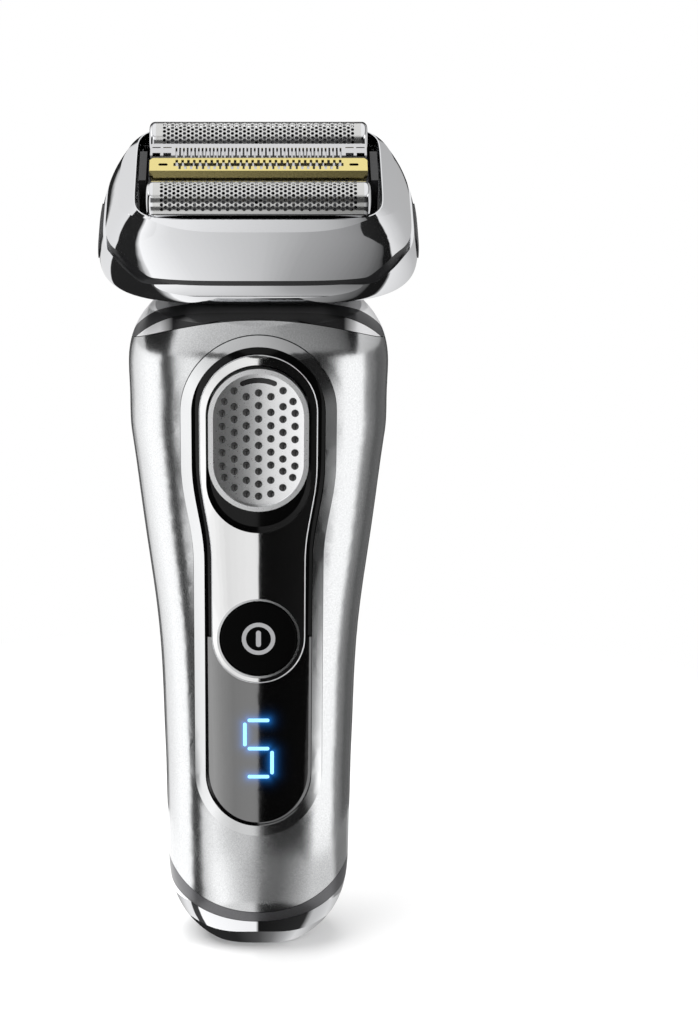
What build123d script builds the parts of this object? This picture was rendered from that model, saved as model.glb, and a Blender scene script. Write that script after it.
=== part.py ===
from build123d import *
import os
from math import atan2, cos, pi, radians, sin, sqrt, tan

# Foil shaver standing on its foot. Millimetres, +Z up, the controls face -Y and +X is to
# the right of someone who looks at them. The origin is the centre of the flat foot.

# Handle: height, half width, front depth and back depth of each station
HEEL_HEIGHT = 17.0
HEEL_HALF_WIDTH = 18.8
HEEL_FRONT = 14.9
HEEL_BACK = 14.3
GRIP_HEIGHT = 44.0
GRIP_HALF_WIDTH = 19.4
GRIP_FRONT = 14.6
GRIP_BACK = 14.6
WAIST_HEIGHT = 68.0
WAIST_HALF_WIDTH = 20.4
WAIST_FRONT = 14.4
WAIST_BACK = 14.8
RISE_HEIGHT = 94.0
RISE_HALF_WIDTH = 23.6
RISE_FRONT = 15.4
RISE_BACK = 15.2
SHOULDER_HEIGHT = 112.0
SHOULDER_HALF_WIDTH = 25.6
SHOULDER_FRONT = 16.8
SHOULDER_BACK = 15.6
CROWN_HEIGHT = 124.0
CROWN_HALF_WIDTH = 25.9
CROWN_FRONT = 17.6
CROWN_BACK = 15.8
HANDLE_POWER = 2.6
FOOT_SHARE = 0.5
DOME_REACH = 18.5
DOME_BACK_LAG = 7.0
WALL = 1.6
SEAM = 0.12
PARTING_FROM_AXIS = 6.0

# Bottom cap and band: arched joints, low in the middle and high at the sides
CAP_EDGE_HEIGHT = 7.4
CAP_EDGE_RISE = 6.6
BAND_EDGE_HEIGHT = 9.8
BAND_EDGE_RISE = 9.0
CAVITY_FLOOR = 5.0

# Shoulder collar: an arched joint below, a slanted seat for the yoke on top
COLLAR_EDGE_ABOVE_CROWN = 4.0
COLLAR_EDGE_RISE = 5.4
COLLAR_TOP_ABOVE_CROWN = 12.1
COLLAR_SLANT = 13.0
COLLAR_ROOF_ABOVE_CROWN = 4.4

# Control panel, in heights above the foot
PANEL_UPPER_HALF = 15.2
PANEL_LOWER_HALF = 12.85
PANEL_LOW_CENTRE = 40.2
PANEL_TOP_BELOW_CROWN = 8.4
NECK_LOW = 85.0
NECK_HIGH = 105.0
BEZEL_WIDTH = 2.1
BEZEL_PROUD = 0.9
PANEL_PLATE = 1.2
PANEL_LAP = 1.0
PANEL_GAP = 0.1
CHANNEL_RECESS = 0.6
STRIP_UPPER_HALF = 11.5
STRIP_LOWER_HALF = 9.25
STRIP_PROUD = 0.5
WINDOW_RECESS = 0.15
WELL_HALF_WIDTH = 10.3
WELL_BELOW_ARCH = 0.7
WELL_HEIGHT = 34.1
SLIDER_TRAVEL = 4.2
SLIDER_SIDE_GAP = 0.5
SLIDER_LIFT = 0.35
SLIDER_PROUD = 1.2
SLIDER_RIM = 0.95
SLIDER_DISH_RADIUS = 46.0
SLIDER_DISH_DEPTH = 0.9
STEM_HALF_WIDTH = 3.0
STEM_HALF_LENGTH = 2.5
CARRIAGE_HALF_WIDTH = 6.0
CARRIAGE_HALF_LENGTH = 8.0
CARRIAGE_THICKNESS = 1.4
LOCK_ROD_WIDTH = 3.0
LOCK_ROD_REACH = 15.0
NUB_RADIUS = 0.75
NUB_HEIGHT = 0.5
NUB_COLUMN_PITCH = 2.4
NUB_ROW_PITCH = 2.6
NUB_COLUMNS = (9, 8, 7, 6)

# Power button and display
BUTTON_HEIGHT = 69.1
BUTTON_RADIUS = 7.7
BUTTON_GAP = 0.15
BUTTON_RING_WIDTH = 0.45
BUTTON_PROUD = 0.55
BUTTON_BASE_DEPTH = 0.6
BUTTON_TRAVEL = 0.6
BUTTON_EDGE = 0.4
PLUNGER_RADIUS = 1.5
DISPLAY_HEIGHT = 45.7
DISPLAY_HALF_WIDTH = 5.5
DISPLAY_HALF_HEIGHT = 10.0

# Inside the handle
CHASSIS_FRONT = 4.6
CHASSIS_THICKNESS = 1.6
CHASSIS_HALF_WIDTH = 14.6
CHASSIS_BOTTOM = 24.0
CHASSIS_TOP = 117.0
BOARD_THICKNESS = 1.2
BOARD_HALF_WIDTH = 9.5
BOARD_BOTTOM = 32.0
BOARD_TOP = 100.0
STANDOFF = 1.8
STANDOFF_RADIUS = 1.8
SWITCH_SIDE = 6.0
BATTERY_RADIUS = 7.0
BATTERY_LENGTH = 50.0
BATTERY_BOTTOM = 34.0
BATTERY_GAP = 0.6
SADDLE_THICKNESS = 3.0
SADDLE_INSET = 10.0
CHASSIS_BOSS_RADIUS = 2.6
CHASSIS_SCREW_X = 11.6
CHASSIS_SCREW_INSET = 3.6
SCREW_RADIUS = 1.1
SCREW_HEAD_RADIUS = 2.0
SCREW_HEAD_HEIGHT = 1.2
SCREW_LENGTH = 6.0

# Power inlet in the foot and charging contacts at the back
INLET_HALF_WIDTH = 3.8
INLET_HALF_DEPTH = 2.4
INLET_WALL = 0.7
INLET_BACK = 3.6
INLET_DEPTH = 8.0
INLET_SET_BACK = 0.4
INLET_PIN_RADIUS = 0.6
INLET_PIN_SPACING = 3.2
INLET_PIN_LENGTH = 2.4
CONTACT_HEIGHT = 27.0
CONTACT_SPACING = 9.0
CONTACT_RADIUS = 1.5
CONTACT_PROUD = 0.2

# Rear grip and rear pop-up trimmer
REAR_GRIP_HALF_WIDTH = 12.5
REAR_GRIP_BOTTOM = 33.0
REAR_GRIP_TOP = 92.0
REAR_GRIP_THICKNESS = 0.7
TRIMMER_HALF_WIDTH = 11.7
TRIMMER_SIDE_GAP = 0.3
TRIMMER_FLOOR = 12.4
TRIMMER_FLOOR_GAP = 0.3
TRIMMER_PLATE = 0.6
TRIMMER_PLATE_GAP = 0.25
TRIMMER_COVER = 1.1
TRIMMER_BOTTOM = 100.0
TRIMMER_BLOCK_LENGTH = 11.0
TRIMMER_COVER_LENGTH = 25.0
TRIMMER_TOOTH_LENGTH = 3.0
TRIMMER_TOOTH_PITCH = 1.3
TRIMMER_TOOTH_WIDTH = 0.65
TRIMMER_CUTTER_SWING = 0.8
TRIMMER_THUMB_RADIUS = 3.0
TRIMMER_THUMB_PROUD = 1.5
TRIMMER_THUMB_HALF_WIDTH = 6.0
TRIMMER_TRAVEL = 10.0

# Yoke and pivot
PIVOT_ABOVE_COLLAR = 9.0
PIVOT_BACK = 1.5
PIN_RADIUS = 1.5
PIN_RUNNING_CLEARANCE = 0.05
ARM_INNER = 14.0
ARM_THICKNESS = 4.0
ARM_RADIUS = 3.6
ARM_SIDE_GAP = 0.45
YOKE_PLATE = 1.6
YOKE_FRONT = 3.5
YOKE_BACK = 8.0
YOKE_SCREW_X = 8.0
YOKE_SCREW_BACK = 3.0
EAR_THICKNESS = 4.0
EAR_RADIUS = 3.2

# Head, in its own tilted frame: levels along the head's axis from the foil axes
HEAD_TILT = 30.0
HEAD_TILT_FORWARD = 5.0
HEAD_TILT_BACKWARD = 35.0
PIVOT_BELOW_FOILS = 18.5
RIM_POWER = 7.0
RIM_HALF_WIDTH = 23.9
RIM_HALF_DEPTH = 15.1
RIM_SIDE_SLOPE = 1.05
RIM_FRONT_SLOPE = 0.55
FRAME_TOP_LEVEL = 1.0
FRAME_TOP_HALF_WIDTH = 24.7
FRAME_TOP_HALF_DEPTH = 15.5
FRAME_TOP_POWER = 5.0
FRAME_MID_LEVEL = -7.2
FRAME_MID_HALF_WIDTH = 29.3
FRAME_MID_HALF_DEPTH = 17.4
FRAME_MID_POWER = 4.4
FRAME_LOW_LEVEL = -12.3
BAND_LOW_LEVEL = -13.9
BAND_TURN = 21.0
BAND_TURN_LAG = 1.8
BAND_CLIMB = 5.4
BAND_RISE = 3.9
BAND_TURN_ROUNDING = 3.0
BAND_RECESS = 0.6
BASE_WIDE_LEVEL = -15.6
BASE_WIDE_HALF_WIDTH = 31.4
BASE_WIDE_HALF_DEPTH = 18.2
BASE_WIDE_POWER = 3.6
BASE_TURN_LEVEL = -19.0
BASE_TURN_HALF_WIDTH = 29.9
BASE_TURN_HALF_DEPTH = 16.9
BASE_TURN_POWER = 3.5
BASE_LOW_LEVEL = -21.4
BASE_LOW_HALF_WIDTH = 26.4
BASE_LOW_HALF_DEPTH = 13.6
BASE_LOW_POWER = 3.8
HEAD_WALL = 1.6
RIM_LAND = 0.2
DECK_GAP = 0.1
DECK_LEVEL = -7.0
DECK_THICKNESS = 1.3
SCOOP_RADIUS = 4.2
SCOOP_DEPTH = 1.0
SCOOP_HALF_LENGTH = 24.0
RELEASE_LEVEL = -14.0
RELEASE_HALF_LENGTH = 7.0
RELEASE_HALF_HEIGHT = 2.8
RELEASE_THICKNESS = 2.0
RELEASE_PROUD = 0.25
RELEASE_GAP = 0.25
RELEASE_TRAVEL = 1.2
RELEASE_INNER_HALF = 26.5

# Drive in the head
STATOR_HALF_LENGTH = 11.0
STATOR_HALF_DEPTH = 9.0
STATOR_HEIGHT = 6.6
COIL_INNER_LENGTH = 5.0
COIL_INNER_DEPTH = 4.0
COIL_WIDTH = 3.0
COIL_HEIGHT = 4.0
COIL_GAP = 0.1
DRIVE_GAP = 0.3
DRIVE_SWING = 1.2
BRIDGE_THICKNESS = 1.2
FOIL_BRIDGE_HALF_LENGTH = 9.0
FOIL_BRIDGE_MARGIN = 2.4
TRIMMER_BRIDGE_HALF_LENGTH = 6.0
TRIMMER_BRIDGE_MARGIN = 2.0
FOIL_PIN_RADIUS = 1.2
TRIMMER_PIN_RADIUS = 0.8
DRIVE_PIN_TOP = -1.6
DRIVE_PIN_CLEARANCE = 0.1
PIN_SLOT_GAP = 0.4
DECK_SCREW_X = 25.5
DECK_SCREW_DEPTH = 7.0
DECK_SCREW_RADIUS = 0.8
DECK_SCREW_HEAD = 1.5
DECK_SCREW_GRIP = 2.0

# Cassette
CASSETTE_GAP = 0.3
CASSETTE_FLOOR = 1.2
CASSETTE_END_THICKNESS = 1.4
CASSETTE_END_INSET = 0.4
CASSETTE_END_TOP = 1.6
FLOAT_TRAVEL = 1.5
FLOAT_BOTTOM = -3.4
FOIL_SPACING = 19.5
FOIL_RADIUS = 4.15
FOIL_SHEET = 0.15
FOIL_HALF_LENGTH = 20.0
FOIL_FRAME_WALL = 0.4
FOIL_FRAME_TOP = 0.4
FOIL_END_CAP = 1.3
FOIL_END_ROUNDING = 1.1
FOIL_FRAME_CORNER = 2.2
CUTTER_GAP = 0.25
CUTTER_HALF_LENGTH = 18.0
CUTTER_FIN = 0.45
CUTTER_FIN_PITCH = 1.2
CUTTER_CARRIER_HALF_WIDTH = 2.6
CUTTER_CARRIER_TOP = -0.2
CUTTER_FIN_BOTTOM = -0.5
CUTTER_BOTTOM = -3.2
PIN_SOCKET_TOP = 0.6
GUARD_HALF_LENGTH = 20.9
GUARD_SHEET = 0.35
GUARD_CENTRE = 2.55
GUARD_HALF_WIDTH = 2.15
LIFT_FRONT_TOP = 3.1
LIFT_BACK_TOP = 3.9
COMB_FRONT_TOP = 3.3
COMB_BACK_TOP = 3.9
GUARD_CHAMFER = 0.7
GUARD_SLOT = 0.65
GUARD_SLOT_PITCH = 1.5
GUARD_SLOT_SPAN = 34.0
GUARD_SLOT_BOTTOM = 1.8
GUARD_SLOT_HALF_DEPTH = 1.4
BLADE_GAP = 0.25
BLADE_BOTTOM = -3.0
BLADE_HALF_LENGTH = 18.5
SPRING_SHEET = 0.25
SPRING_HALF_LENGTH = 3.5
SPRING_X = 15.5

os.makedirs("parts", exist_ok=True)


def save(piece, label):
    """Label one finished piece and write its file."""
    piece.part.label = label
    export_step(piece.part, f"parts/{label}.step")


# Forms that several pieces share

STATIONS = (
    (HEEL_HEIGHT, HEEL_HALF_WIDTH, HEEL_FRONT, HEEL_BACK),
    (GRIP_HEIGHT, GRIP_HALF_WIDTH, GRIP_FRONT, GRIP_BACK),
    (WAIST_HEIGHT, WAIST_HALF_WIDTH, WAIST_FRONT, WAIST_BACK),
    (RISE_HEIGHT, RISE_HALF_WIDTH, RISE_FRONT, RISE_BACK),
    (SHOULDER_HEIGHT, SHOULDER_HALF_WIDTH, SHOULDER_FRONT, SHOULDER_BACK),
    (CROWN_HEIGHT, CROWN_HALF_WIDTH, CROWN_FRONT, CROWN_BACK),
)
FOOT_DOME_STEPS = (0.0, 0.12, 0.3, 0.57)
CROWN_DOME_STEPS = (0.3, 0.52, 0.7, 0.84, 0.94)
HANDLE_SPANS = 11
HEAD_SPANS = 9
HANDLE_POINTS = 24
HEAD_POINTS = 48
FAR = 60.0


def oval(plane, half_width, front, back, power, count):
    """A rounded section on a plane, drawn from the middle of its back."""
    points = []
    for step in range(count):
        turn = 2 * pi * step / count
        across, along = sin(turn), cos(turn)
        reach = (abs(across) ** power + abs(along) ** power) ** (-1 / power)
        depth = back if along > 0 else front
        points.append((half_width * reach * across, depth * reach * along))
    with BuildSketch(plane) as section:
        with BuildLine():
            Spline(*points, periodic=True)
        make_face()
    return section.sketch


def slope_at(rows, index, column):
    """Slope of one column of sizes at a row, from the rows beside it."""
    before, after = rows[max(index - 1, 0)], rows[min(index + 1, len(rows) - 1)]
    return (after[column] - before[column]) / (after[0] - before[0])


def sizes_at(rows, place):
    """Sizes at a place, on smooth curves through rows that start with their place."""
    index = 0
    while index < len(rows) - 2 and place > rows[index + 1][0]:
        index += 1
    low, high = rows[index], rows[index + 1]
    span = high[0] - low[0]
    t = (place - low[0]) / span
    sizes = []
    for column in range(1, len(low)):
        low_rise = slope_at(rows, index, column) * span
        high_rise = slope_at(rows, index + 1, column) * span
        sizes.append(
            low[column] * (2 * t**3 - 3 * t**2 + 1)
            + low_rise * (t**3 - 2 * t**2 + t)
            + high[column] * (3 * t**2 - 2 * t**3)
            + high_rise * (t**3 - t**2)
        )
    return sizes


def handle_sections():
    """Height, half width, front and back of every section of the handle."""
    sections = []
    foot_reach = HEEL_HEIGHT / sqrt(1 - FOOT_SHARE**2)
    for share in FOOT_DOME_STEPS:
        height = share * HEEL_HEIGHT
        scale = sqrt(1 - ((HEEL_HEIGHT - height) / foot_reach) ** 2)
        sections.append((height, scale * HEEL_HALF_WIDTH, scale * HEEL_FRONT, scale * HEEL_BACK))
    for step in range(HANDLE_SPANS + 1):
        height = HEEL_HEIGHT + (CROWN_HEIGHT - HEEL_HEIGHT) * step / HANDLE_SPANS
        sections.append((height, *sizes_at(STATIONS, height)))
    for share in CROWN_DOME_STEPS:
        rise = share * DOME_REACH
        scale = sqrt(1 - share**2)
        back_scale = sqrt(1 - (max(rise - DOME_BACK_LAG, 0) / DOME_REACH) ** 2)
        height = CROWN_HEIGHT + rise
        sections.append(
            (height, scale * CROWN_HALF_WIDTH, scale * CROWN_FRONT, back_scale * CROWN_BACK)
        )
    return sections


def handle_form(growth):
    """The whole handle as one body, grown outwards by a distance."""
    with BuildPart() as form:
        loft(
            [
                oval(
                    Plane.XY.offset(height),
                    half_width + growth,
                    front + growth,
                    back + growth,
                    HANDLE_POWER,
                    HANDLE_POINTS,
                )
                for height, half_width, front, back in handle_sections()
            ]
        )
    return form.part


def front_depth(height):
    """Depth of the handle's front on its middle line."""
    return sizes_at(STATIONS, height)[1]


CAVITY_ROOF = CROWN_HEIGHT + COLLAR_ROOF_ABOVE_CROWN
COLLAR_TOP = CROWN_HEIGHT + COLLAR_TOP_ABOVE_CROWN
COLLAR_PLANE = Plane(
    origin=(0, 0, COLLAR_TOP),
    x_dir=(1, 0, 0),
    z_dir=(0, -sin(radians(COLLAR_SLANT)), cos(radians(COLLAR_SLANT))),
)
FORM = handle_form(0)
INNER_FORM = handle_form(-WALL)
PLATE_BACK_FORM = handle_form(-WALL - PANEL_PLATE)

with BuildPart() as cavity:
    add(INNER_FORM)
    split(bisect_by=Plane.XY.offset(CAVITY_FLOOR), keep=Keep.TOP)
CAVITY = cavity.part

# Arched joint lines of the handle: middle height, side height, half span
CAP_ARCH = (CAP_EDGE_HEIGHT, CAP_EDGE_HEIGHT + CAP_EDGE_RISE, HEEL_HALF_WIDTH)
BAND_ARCH = (BAND_EDGE_HEIGHT, BAND_EDGE_HEIGHT + BAND_EDGE_RISE, HEEL_HALF_WIDTH)
COLLAR_SIDE_HEIGHT = CROWN_HEIGHT + COLLAR_EDGE_ABOVE_CROWN
COLLAR_ARCH = (COLLAR_SIDE_HEIGHT + COLLAR_EDGE_RISE, COLLAR_SIDE_HEIGHT, CROWN_HALF_WIDTH)


def below_arch(arch, step=0.0):
    """The region under an arched joint line moved up by a step, seen from the front."""
    middle_height, side_height, half_span = arch
    side = side_height + step
    with BuildSketch(Plane.XZ) as region:
        with BuildLine():
            ThreePointArc((-half_span, side), (0, middle_height + step), (half_span, side))
            Polyline(
                (half_span, side),
                (FAR, side),
                (FAR, -FAR),
                (-FAR, -FAR),
                (-FAR, side),
                (-half_span, side),
            )
        make_face()
    return region.sketch


def keep_below(arch, step=0.0):
    """Cut away what lies over an arched joint line."""
    extrude(below_arch(arch, step), amount=FAR, both=True, mode=Mode.INTERSECT)


def keep_above(arch, step=0.0):
    """Cut away what lies under an arched joint line."""
    extrude(below_arch(arch, step), amount=FAR, both=True, mode=Mode.SUBTRACT)


PANEL_TOP_CENTRE = CROWN_HEIGHT - PANEL_TOP_BELOW_CROWN


def keyhole(upper_half, lower_half, low_centre):
    """An outline with round ends whose upper part is wider, seen from the front."""
    with BuildSketch(Plane.XZ) as outline:
        with BuildLine():
            for side in (1, -1):
                Line((side * lower_half, low_centre), (side * lower_half, NECK_LOW))
                Spline(
                    (side * lower_half, NECK_LOW),
                    (side * upper_half, NECK_HIGH),
                    tangents=((0, 1), (0, 1)),
                )
                Line((side * upper_half, NECK_HIGH), (side * upper_half, PANEL_TOP_CENTRE))
            ThreePointArc(
                (-upper_half, PANEL_TOP_CENTRE),
                (0, PANEL_TOP_CENTRE + upper_half),
                (upper_half, PANEL_TOP_CENTRE),
            )
            ThreePointArc(
                (-lower_half, low_centre), (0, low_centre - lower_half), (lower_half, low_centre)
            )
        make_face()
    return outline.sketch


def bezel_outline(growth=0.0):
    """The outer outline of the bezel, grown by a distance."""
    return keyhole(PANEL_UPPER_HALF + growth, PANEL_LOWER_HALF + growth, PANEL_LOW_CENTRE)


def strip_outline(growth=0.0):
    """The outline of the raised strip, grown by a distance."""
    return keyhole(STRIP_UPPER_HALF + growth, STRIP_LOWER_HALF + growth, BUTTON_HEIGHT)


def slot(plane, length, width, centre=(0, 0), turn=90):
    """A round-ended slot on a plane."""
    with BuildSketch(plane) as outline:
        with Locations(centre):
            SlotOverall(length, width, rotation=turn)
    return outline.sketch


def rectangle(plane, width, height, centre=(0, 0)):
    """A rectangle on a plane."""
    with BuildSketch(plane) as outline:
        with Locations(centre):
            Rectangle(width, height)
    return outline.sketch


def circles(plane, radius, points=((0, 0),)):
    """Equal circles on a plane."""
    with BuildSketch(plane) as outline:
        with Locations(*points):
            Circle(radius)
    return outline.sketch


def back_box(half_width, bottom, top, near, far, mode=Mode.ADD):
    """A box at the back of the handle, from one depth to another."""
    face = rectangle(Plane.XZ.offset(-near), 2 * half_width, top - bottom, (0, (bottom + top) / 2))
    extrude(face, amount=near - far, mode=mode)


# The slider's and the button's planes on the sloping front
WELL_TOP = PANEL_TOP_CENTRE - WELL_BELOW_ARCH + WELL_HALF_WIDTH
WELL_CENTRE = WELL_TOP - WELL_HEIGHT / 2
SLIDER_HALF_WIDTH = WELL_HALF_WIDTH - SLIDER_SIDE_GAP
SLIDER_HALF_HEIGHT = WELL_HEIGHT / 2 - SLIDER_SIDE_GAP - SLIDER_TRAVEL / 2
SLIDER_CENTRE = WELL_CENTRE + SLIDER_TRAVEL / 2
SLIDER_SLOPE = atan2(front_depth(WELL_TOP) - front_depth(WELL_TOP - WELL_HEIGHT), WELL_HEIGHT)
SLIDER_PLANE = Plane(
    origin=(0, -front_depth(SLIDER_CENTRE), SLIDER_CENTRE),
    x_dir=(1, 0, 0),
    z_dir=(0, -cos(SLIDER_SLOPE), -sin(SLIDER_SLOPE)),
)
BUTTON_PLANE = Plane(
    origin=(0, -front_depth(BUTTON_HEIGHT), BUTTON_HEIGHT), x_dir=(1, 0, 0), z_dir=(0, -1, 0)
)
RING_OUTER_RADIUS = BUTTON_RADIUS + BUTTON_GAP + BUTTON_RING_WIDTH

# Chassis planes, seen from the front
CHASSIS_PLANE = Plane.XZ.offset(CHASSIS_FRONT)
CHASSIS_BACK = CHASSIS_FRONT - CHASSIS_THICKNESS
CHASSIS_BACK_PLANE = Plane.XZ.offset(CHASSIS_BACK)
BOARD_FRONT = CHASSIS_FRONT + STANDOFF + BOARD_THICKNESS
BOARD_PLANE = Plane.XZ.offset(BOARD_FRONT)
CHASSIS_SCREW_POINTS = [
    (side * CHASSIS_SCREW_X, height)
    for side in (-1, 1)
    for height in (CHASSIS_BOTTOM + CHASSIS_SCREW_INSET, CHASSIS_TOP - CHASSIS_SCREW_INSET)
]
CONTACT_POINTS = [(side * CONTACT_SPACING / 2, CONTACT_HEIGHT) for side in (-1, 1)]

# Trimmer depths, counted from the channel floor at the back
TRIMMER_COMB_Y = TRIMMER_FLOOR + TRIMMER_FLOOR_GAP
TRIMMER_CUTTER_Y = TRIMMER_COMB_Y + TRIMMER_PLATE + TRIMMER_PLATE_GAP
TRIMMER_COVER_Y = TRIMMER_CUTTER_Y + TRIMMER_PLATE + TRIMMER_PLATE_GAP
TRIMMER_COVER_TOP = TRIMMER_BOTTOM + TRIMMER_COVER_LENGTH
TRIMMER_CHANNEL_HALF = TRIMMER_HALF_WIDTH + TRIMMER_SIDE_GAP
TRIMMER_CHANNEL_BOTTOM = TRIMMER_BOTTOM - TRIMMER_SIDE_GAP

# Handle shells

with BuildPart() as front_shell:
    add(FORM)
    keep_above(BAND_ARCH)
    keep_below(COLLAR_ARCH)
    split(bisect_by=Plane.XZ.offset(PARTING_FROM_AXIS), keep=Keep.TOP)
    add(CAVITY, mode=Mode.SUBTRACT)
    extrude(bezel_outline(PANEL_GAP), amount=FAR, mode=Mode.SUBTRACT)
save(front_shell, "front_shell")

with BuildPart() as rear_bosses:
    extrude(circles(CHASSIS_BACK_PLANE, CHASSIS_BOSS_RADIUS, CHASSIS_SCREW_POINTS), amount=-FAR)
    back_box(
        TRIMMER_CHANNEL_HALF + WALL,
        TRIMMER_CHANNEL_BOTTOM - WALL,
        CAVITY_ROOF - SEAM,
        TRIMMER_FLOOR - WALL,
        FAR,
    )
    add(FORM, mode=Mode.INTERSECT)
    keep_below(COLLAR_ARCH)

with BuildPart() as rear_shell:
    add(FORM)
    keep_above(BAND_ARCH)
    keep_below(COLLAR_ARCH)
    split(bisect_by=Plane.XZ.offset(PARTING_FROM_AXIS - SEAM), keep=Keep.BOTTOM)
    add(CAVITY, mode=Mode.SUBTRACT)
    add(rear_bosses.part)
    back_box(
        TRIMMER_CHANNEL_HALF,
        TRIMMER_CHANNEL_BOTTOM,
        CROWN_HEIGHT + FAR,
        TRIMMER_FLOOR,
        FAR,
        mode=Mode.SUBTRACT,
    )
    extrude(
        circles(CHASSIS_BACK_PLANE, SCREW_RADIUS, CHASSIS_SCREW_POINTS),
        amount=-SCREW_LENGTH,
        mode=Mode.SUBTRACT,
    )
    extrude(circles(Plane.XZ, CONTACT_RADIUS, CONTACT_POINTS), amount=-FAR, mode=Mode.SUBTRACT)
save(rear_shell, "rear_shell")

with BuildPart() as rear_grip:
    extrude(
        slot(
            Plane.XZ,
            REAR_GRIP_TOP - REAR_GRIP_BOTTOM,
            2 * REAR_GRIP_HALF_WIDTH,
            (0, (REAR_GRIP_BOTTOM + REAR_GRIP_TOP) / 2),
        ),
        amount=-FAR,
    )
    add(handle_form(REAR_GRIP_THICKNESS), mode=Mode.INTERSECT)
    add(FORM, mode=Mode.SUBTRACT)
save(rear_grip, "rear_grip")

with BuildPart() as station_contacts:
    extrude(circles(Plane.XZ, CONTACT_RADIUS, CONTACT_POINTS), amount=-FAR)
    add(handle_form(CONTACT_PROUD), mode=Mode.INTERSECT)
    add(INNER_FORM, mode=Mode.SUBTRACT)
save(station_contacts, "station_contacts")

YOKE_SCREW_POINTS = [(side * YOKE_SCREW_X, YOKE_SCREW_BACK) for side in (-1, 1)]

with BuildPart() as collar_plug:
    add(handle_form(-WALL - SEAM))
    split(bisect_by=Plane.XY.offset(CAVITY_ROOF), keep=Keep.TOP)
    extrude(bezel_outline(PANEL_LAP + PANEL_GAP), amount=FAR, mode=Mode.SUBTRACT)

with BuildPart() as shoulder_collar:
    add(FORM)
    keep_above(COLLAR_ARCH, SEAM)
    add(collar_plug.part)
    split(bisect_by=COLLAR_PLANE, keep=Keep.BOTTOM)
    back_box(
        TRIMMER_CHANNEL_HALF,
        TRIMMER_BOTTOM,
        CROWN_HEIGHT + FAR,
        TRIMMER_FLOOR,
        FAR,
        mode=Mode.SUBTRACT,
    )
    extrude(
        circles(COLLAR_PLANE, SCREW_RADIUS, YOKE_SCREW_POINTS),
        amount=-SCREW_LENGTH,
        mode=Mode.SUBTRACT,
    )
save(shoulder_collar, "shoulder_collar")

with BuildPart() as bottom_band:
    add(FORM)
    keep_below(BAND_ARCH, -SEAM)
    keep_above(CAP_ARCH)
    add(CAVITY, mode=Mode.SUBTRACT)
save(bottom_band, "bottom_band")


def inlet_outline(height, growth):
    """The rounded outline of the power inlet at a height, grown by a distance."""
    return slot(
        Plane.XY.offset(height),
        2 * (INLET_HALF_WIDTH + growth),
        2 * (INLET_HALF_DEPTH + growth),
        (0, INLET_BACK),
        turn=0,
    )


with BuildPart() as bottom_cap:
    add(FORM)
    keep_below(CAP_ARCH, -SEAM)
    add(CAVITY, mode=Mode.SUBTRACT)
    extrude(inlet_outline(0, INLET_WALL), amount=CAVITY_FLOOR, mode=Mode.SUBTRACT)
save(bottom_cap, "bottom_cap")

with BuildPart() as power_inlet:
    extrude(inlet_outline(INLET_SET_BACK, INLET_WALL), amount=INLET_DEPTH + INLET_WALL)
    extrude(inlet_outline(INLET_SET_BACK, 0), amount=INLET_DEPTH, mode=Mode.SUBTRACT)
save(power_inlet, "power_inlet")

with BuildPart() as inlet_pins:
    extrude(
        circles(
            Plane.XY.offset(INLET_SET_BACK + INLET_DEPTH),
            INLET_PIN_RADIUS,
            [(side * INLET_PIN_SPACING / 2, INLET_BACK) for side in (-1, 1)],
        ),
        amount=-INLET_PIN_LENGTH,
    )
save(inlet_pins, "inlet_pins")

# Control panel

with BuildPart() as panel_bezel:
    extrude(bezel_outline(), amount=FAR)
    extrude(bezel_outline(-BEZEL_WIDTH), amount=FAR, mode=Mode.SUBTRACT)
    add(handle_form(BEZEL_PROUD), mode=Mode.INTERSECT)
    add(INNER_FORM, mode=Mode.SUBTRACT)
save(panel_bezel, "panel_bezel")

with BuildPart() as channel_rim:
    extrude(bezel_outline(-BEZEL_WIDTH - PANEL_GAP), amount=FAR)
    extrude(strip_outline(PANEL_GAP), amount=FAR, mode=Mode.SUBTRACT)
    split(bisect_by=Plane.XY.offset(BUTTON_HEIGHT), keep=Keep.TOP)
    add(handle_form(-CHANNEL_RECESS), mode=Mode.INTERSECT)
    add(INNER_FORM, mode=Mode.SUBTRACT)

with BuildPart() as control_panel:
    extrude(bezel_outline(PANEL_LAP), amount=FAR)
    add(INNER_FORM, mode=Mode.INTERSECT)
    add(PLATE_BACK_FORM, mode=Mode.SUBTRACT)
    add(channel_rim.part)
    extrude(
        rectangle(
            SLIDER_PLANE,
            2 * (STEM_HALF_WIDTH + SLIDER_LIFT),
            2 * (STEM_HALF_LENGTH + SLIDER_LIFT) + SLIDER_TRAVEL,
            (0, -SLIDER_TRAVEL / 2),
        ),
        amount=-CHASSIS_FRONT,
        mode=Mode.SUBTRACT,
    )
    extrude(
        circles(BUTTON_PLANE, PLUNGER_RADIUS + BUTTON_GAP),
        amount=-CHASSIS_FRONT,
        mode=Mode.SUBTRACT,
    )
    extrude(
        rectangle(
            Plane.XZ,
            2 * (DISPLAY_HALF_WIDTH + PANEL_GAP),
            2 * (DISPLAY_HALF_HEIGHT + PANEL_GAP),
            (0, DISPLAY_HEIGHT),
        ),
        amount=FAR,
        mode=Mode.SUBTRACT,
    )
save(control_panel, "control_panel")

with BuildPart() as control_strip:
    extrude(strip_outline(), amount=FAR)
    add(handle_form(STRIP_PROUD), mode=Mode.INTERSECT)
    add(INNER_FORM, mode=Mode.SUBTRACT)
    extrude(
        slot(Plane.XZ, WELL_HEIGHT, 2 * WELL_HALF_WIDTH, (0, WELL_CENTRE)),
        amount=FAR,
        mode=Mode.SUBTRACT,
    )
    extrude(circles(BUTTON_PLANE, RING_OUTER_RADIUS), amount=FAR, both=True, mode=Mode.SUBTRACT)
save(control_strip, "control_strip")

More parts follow.
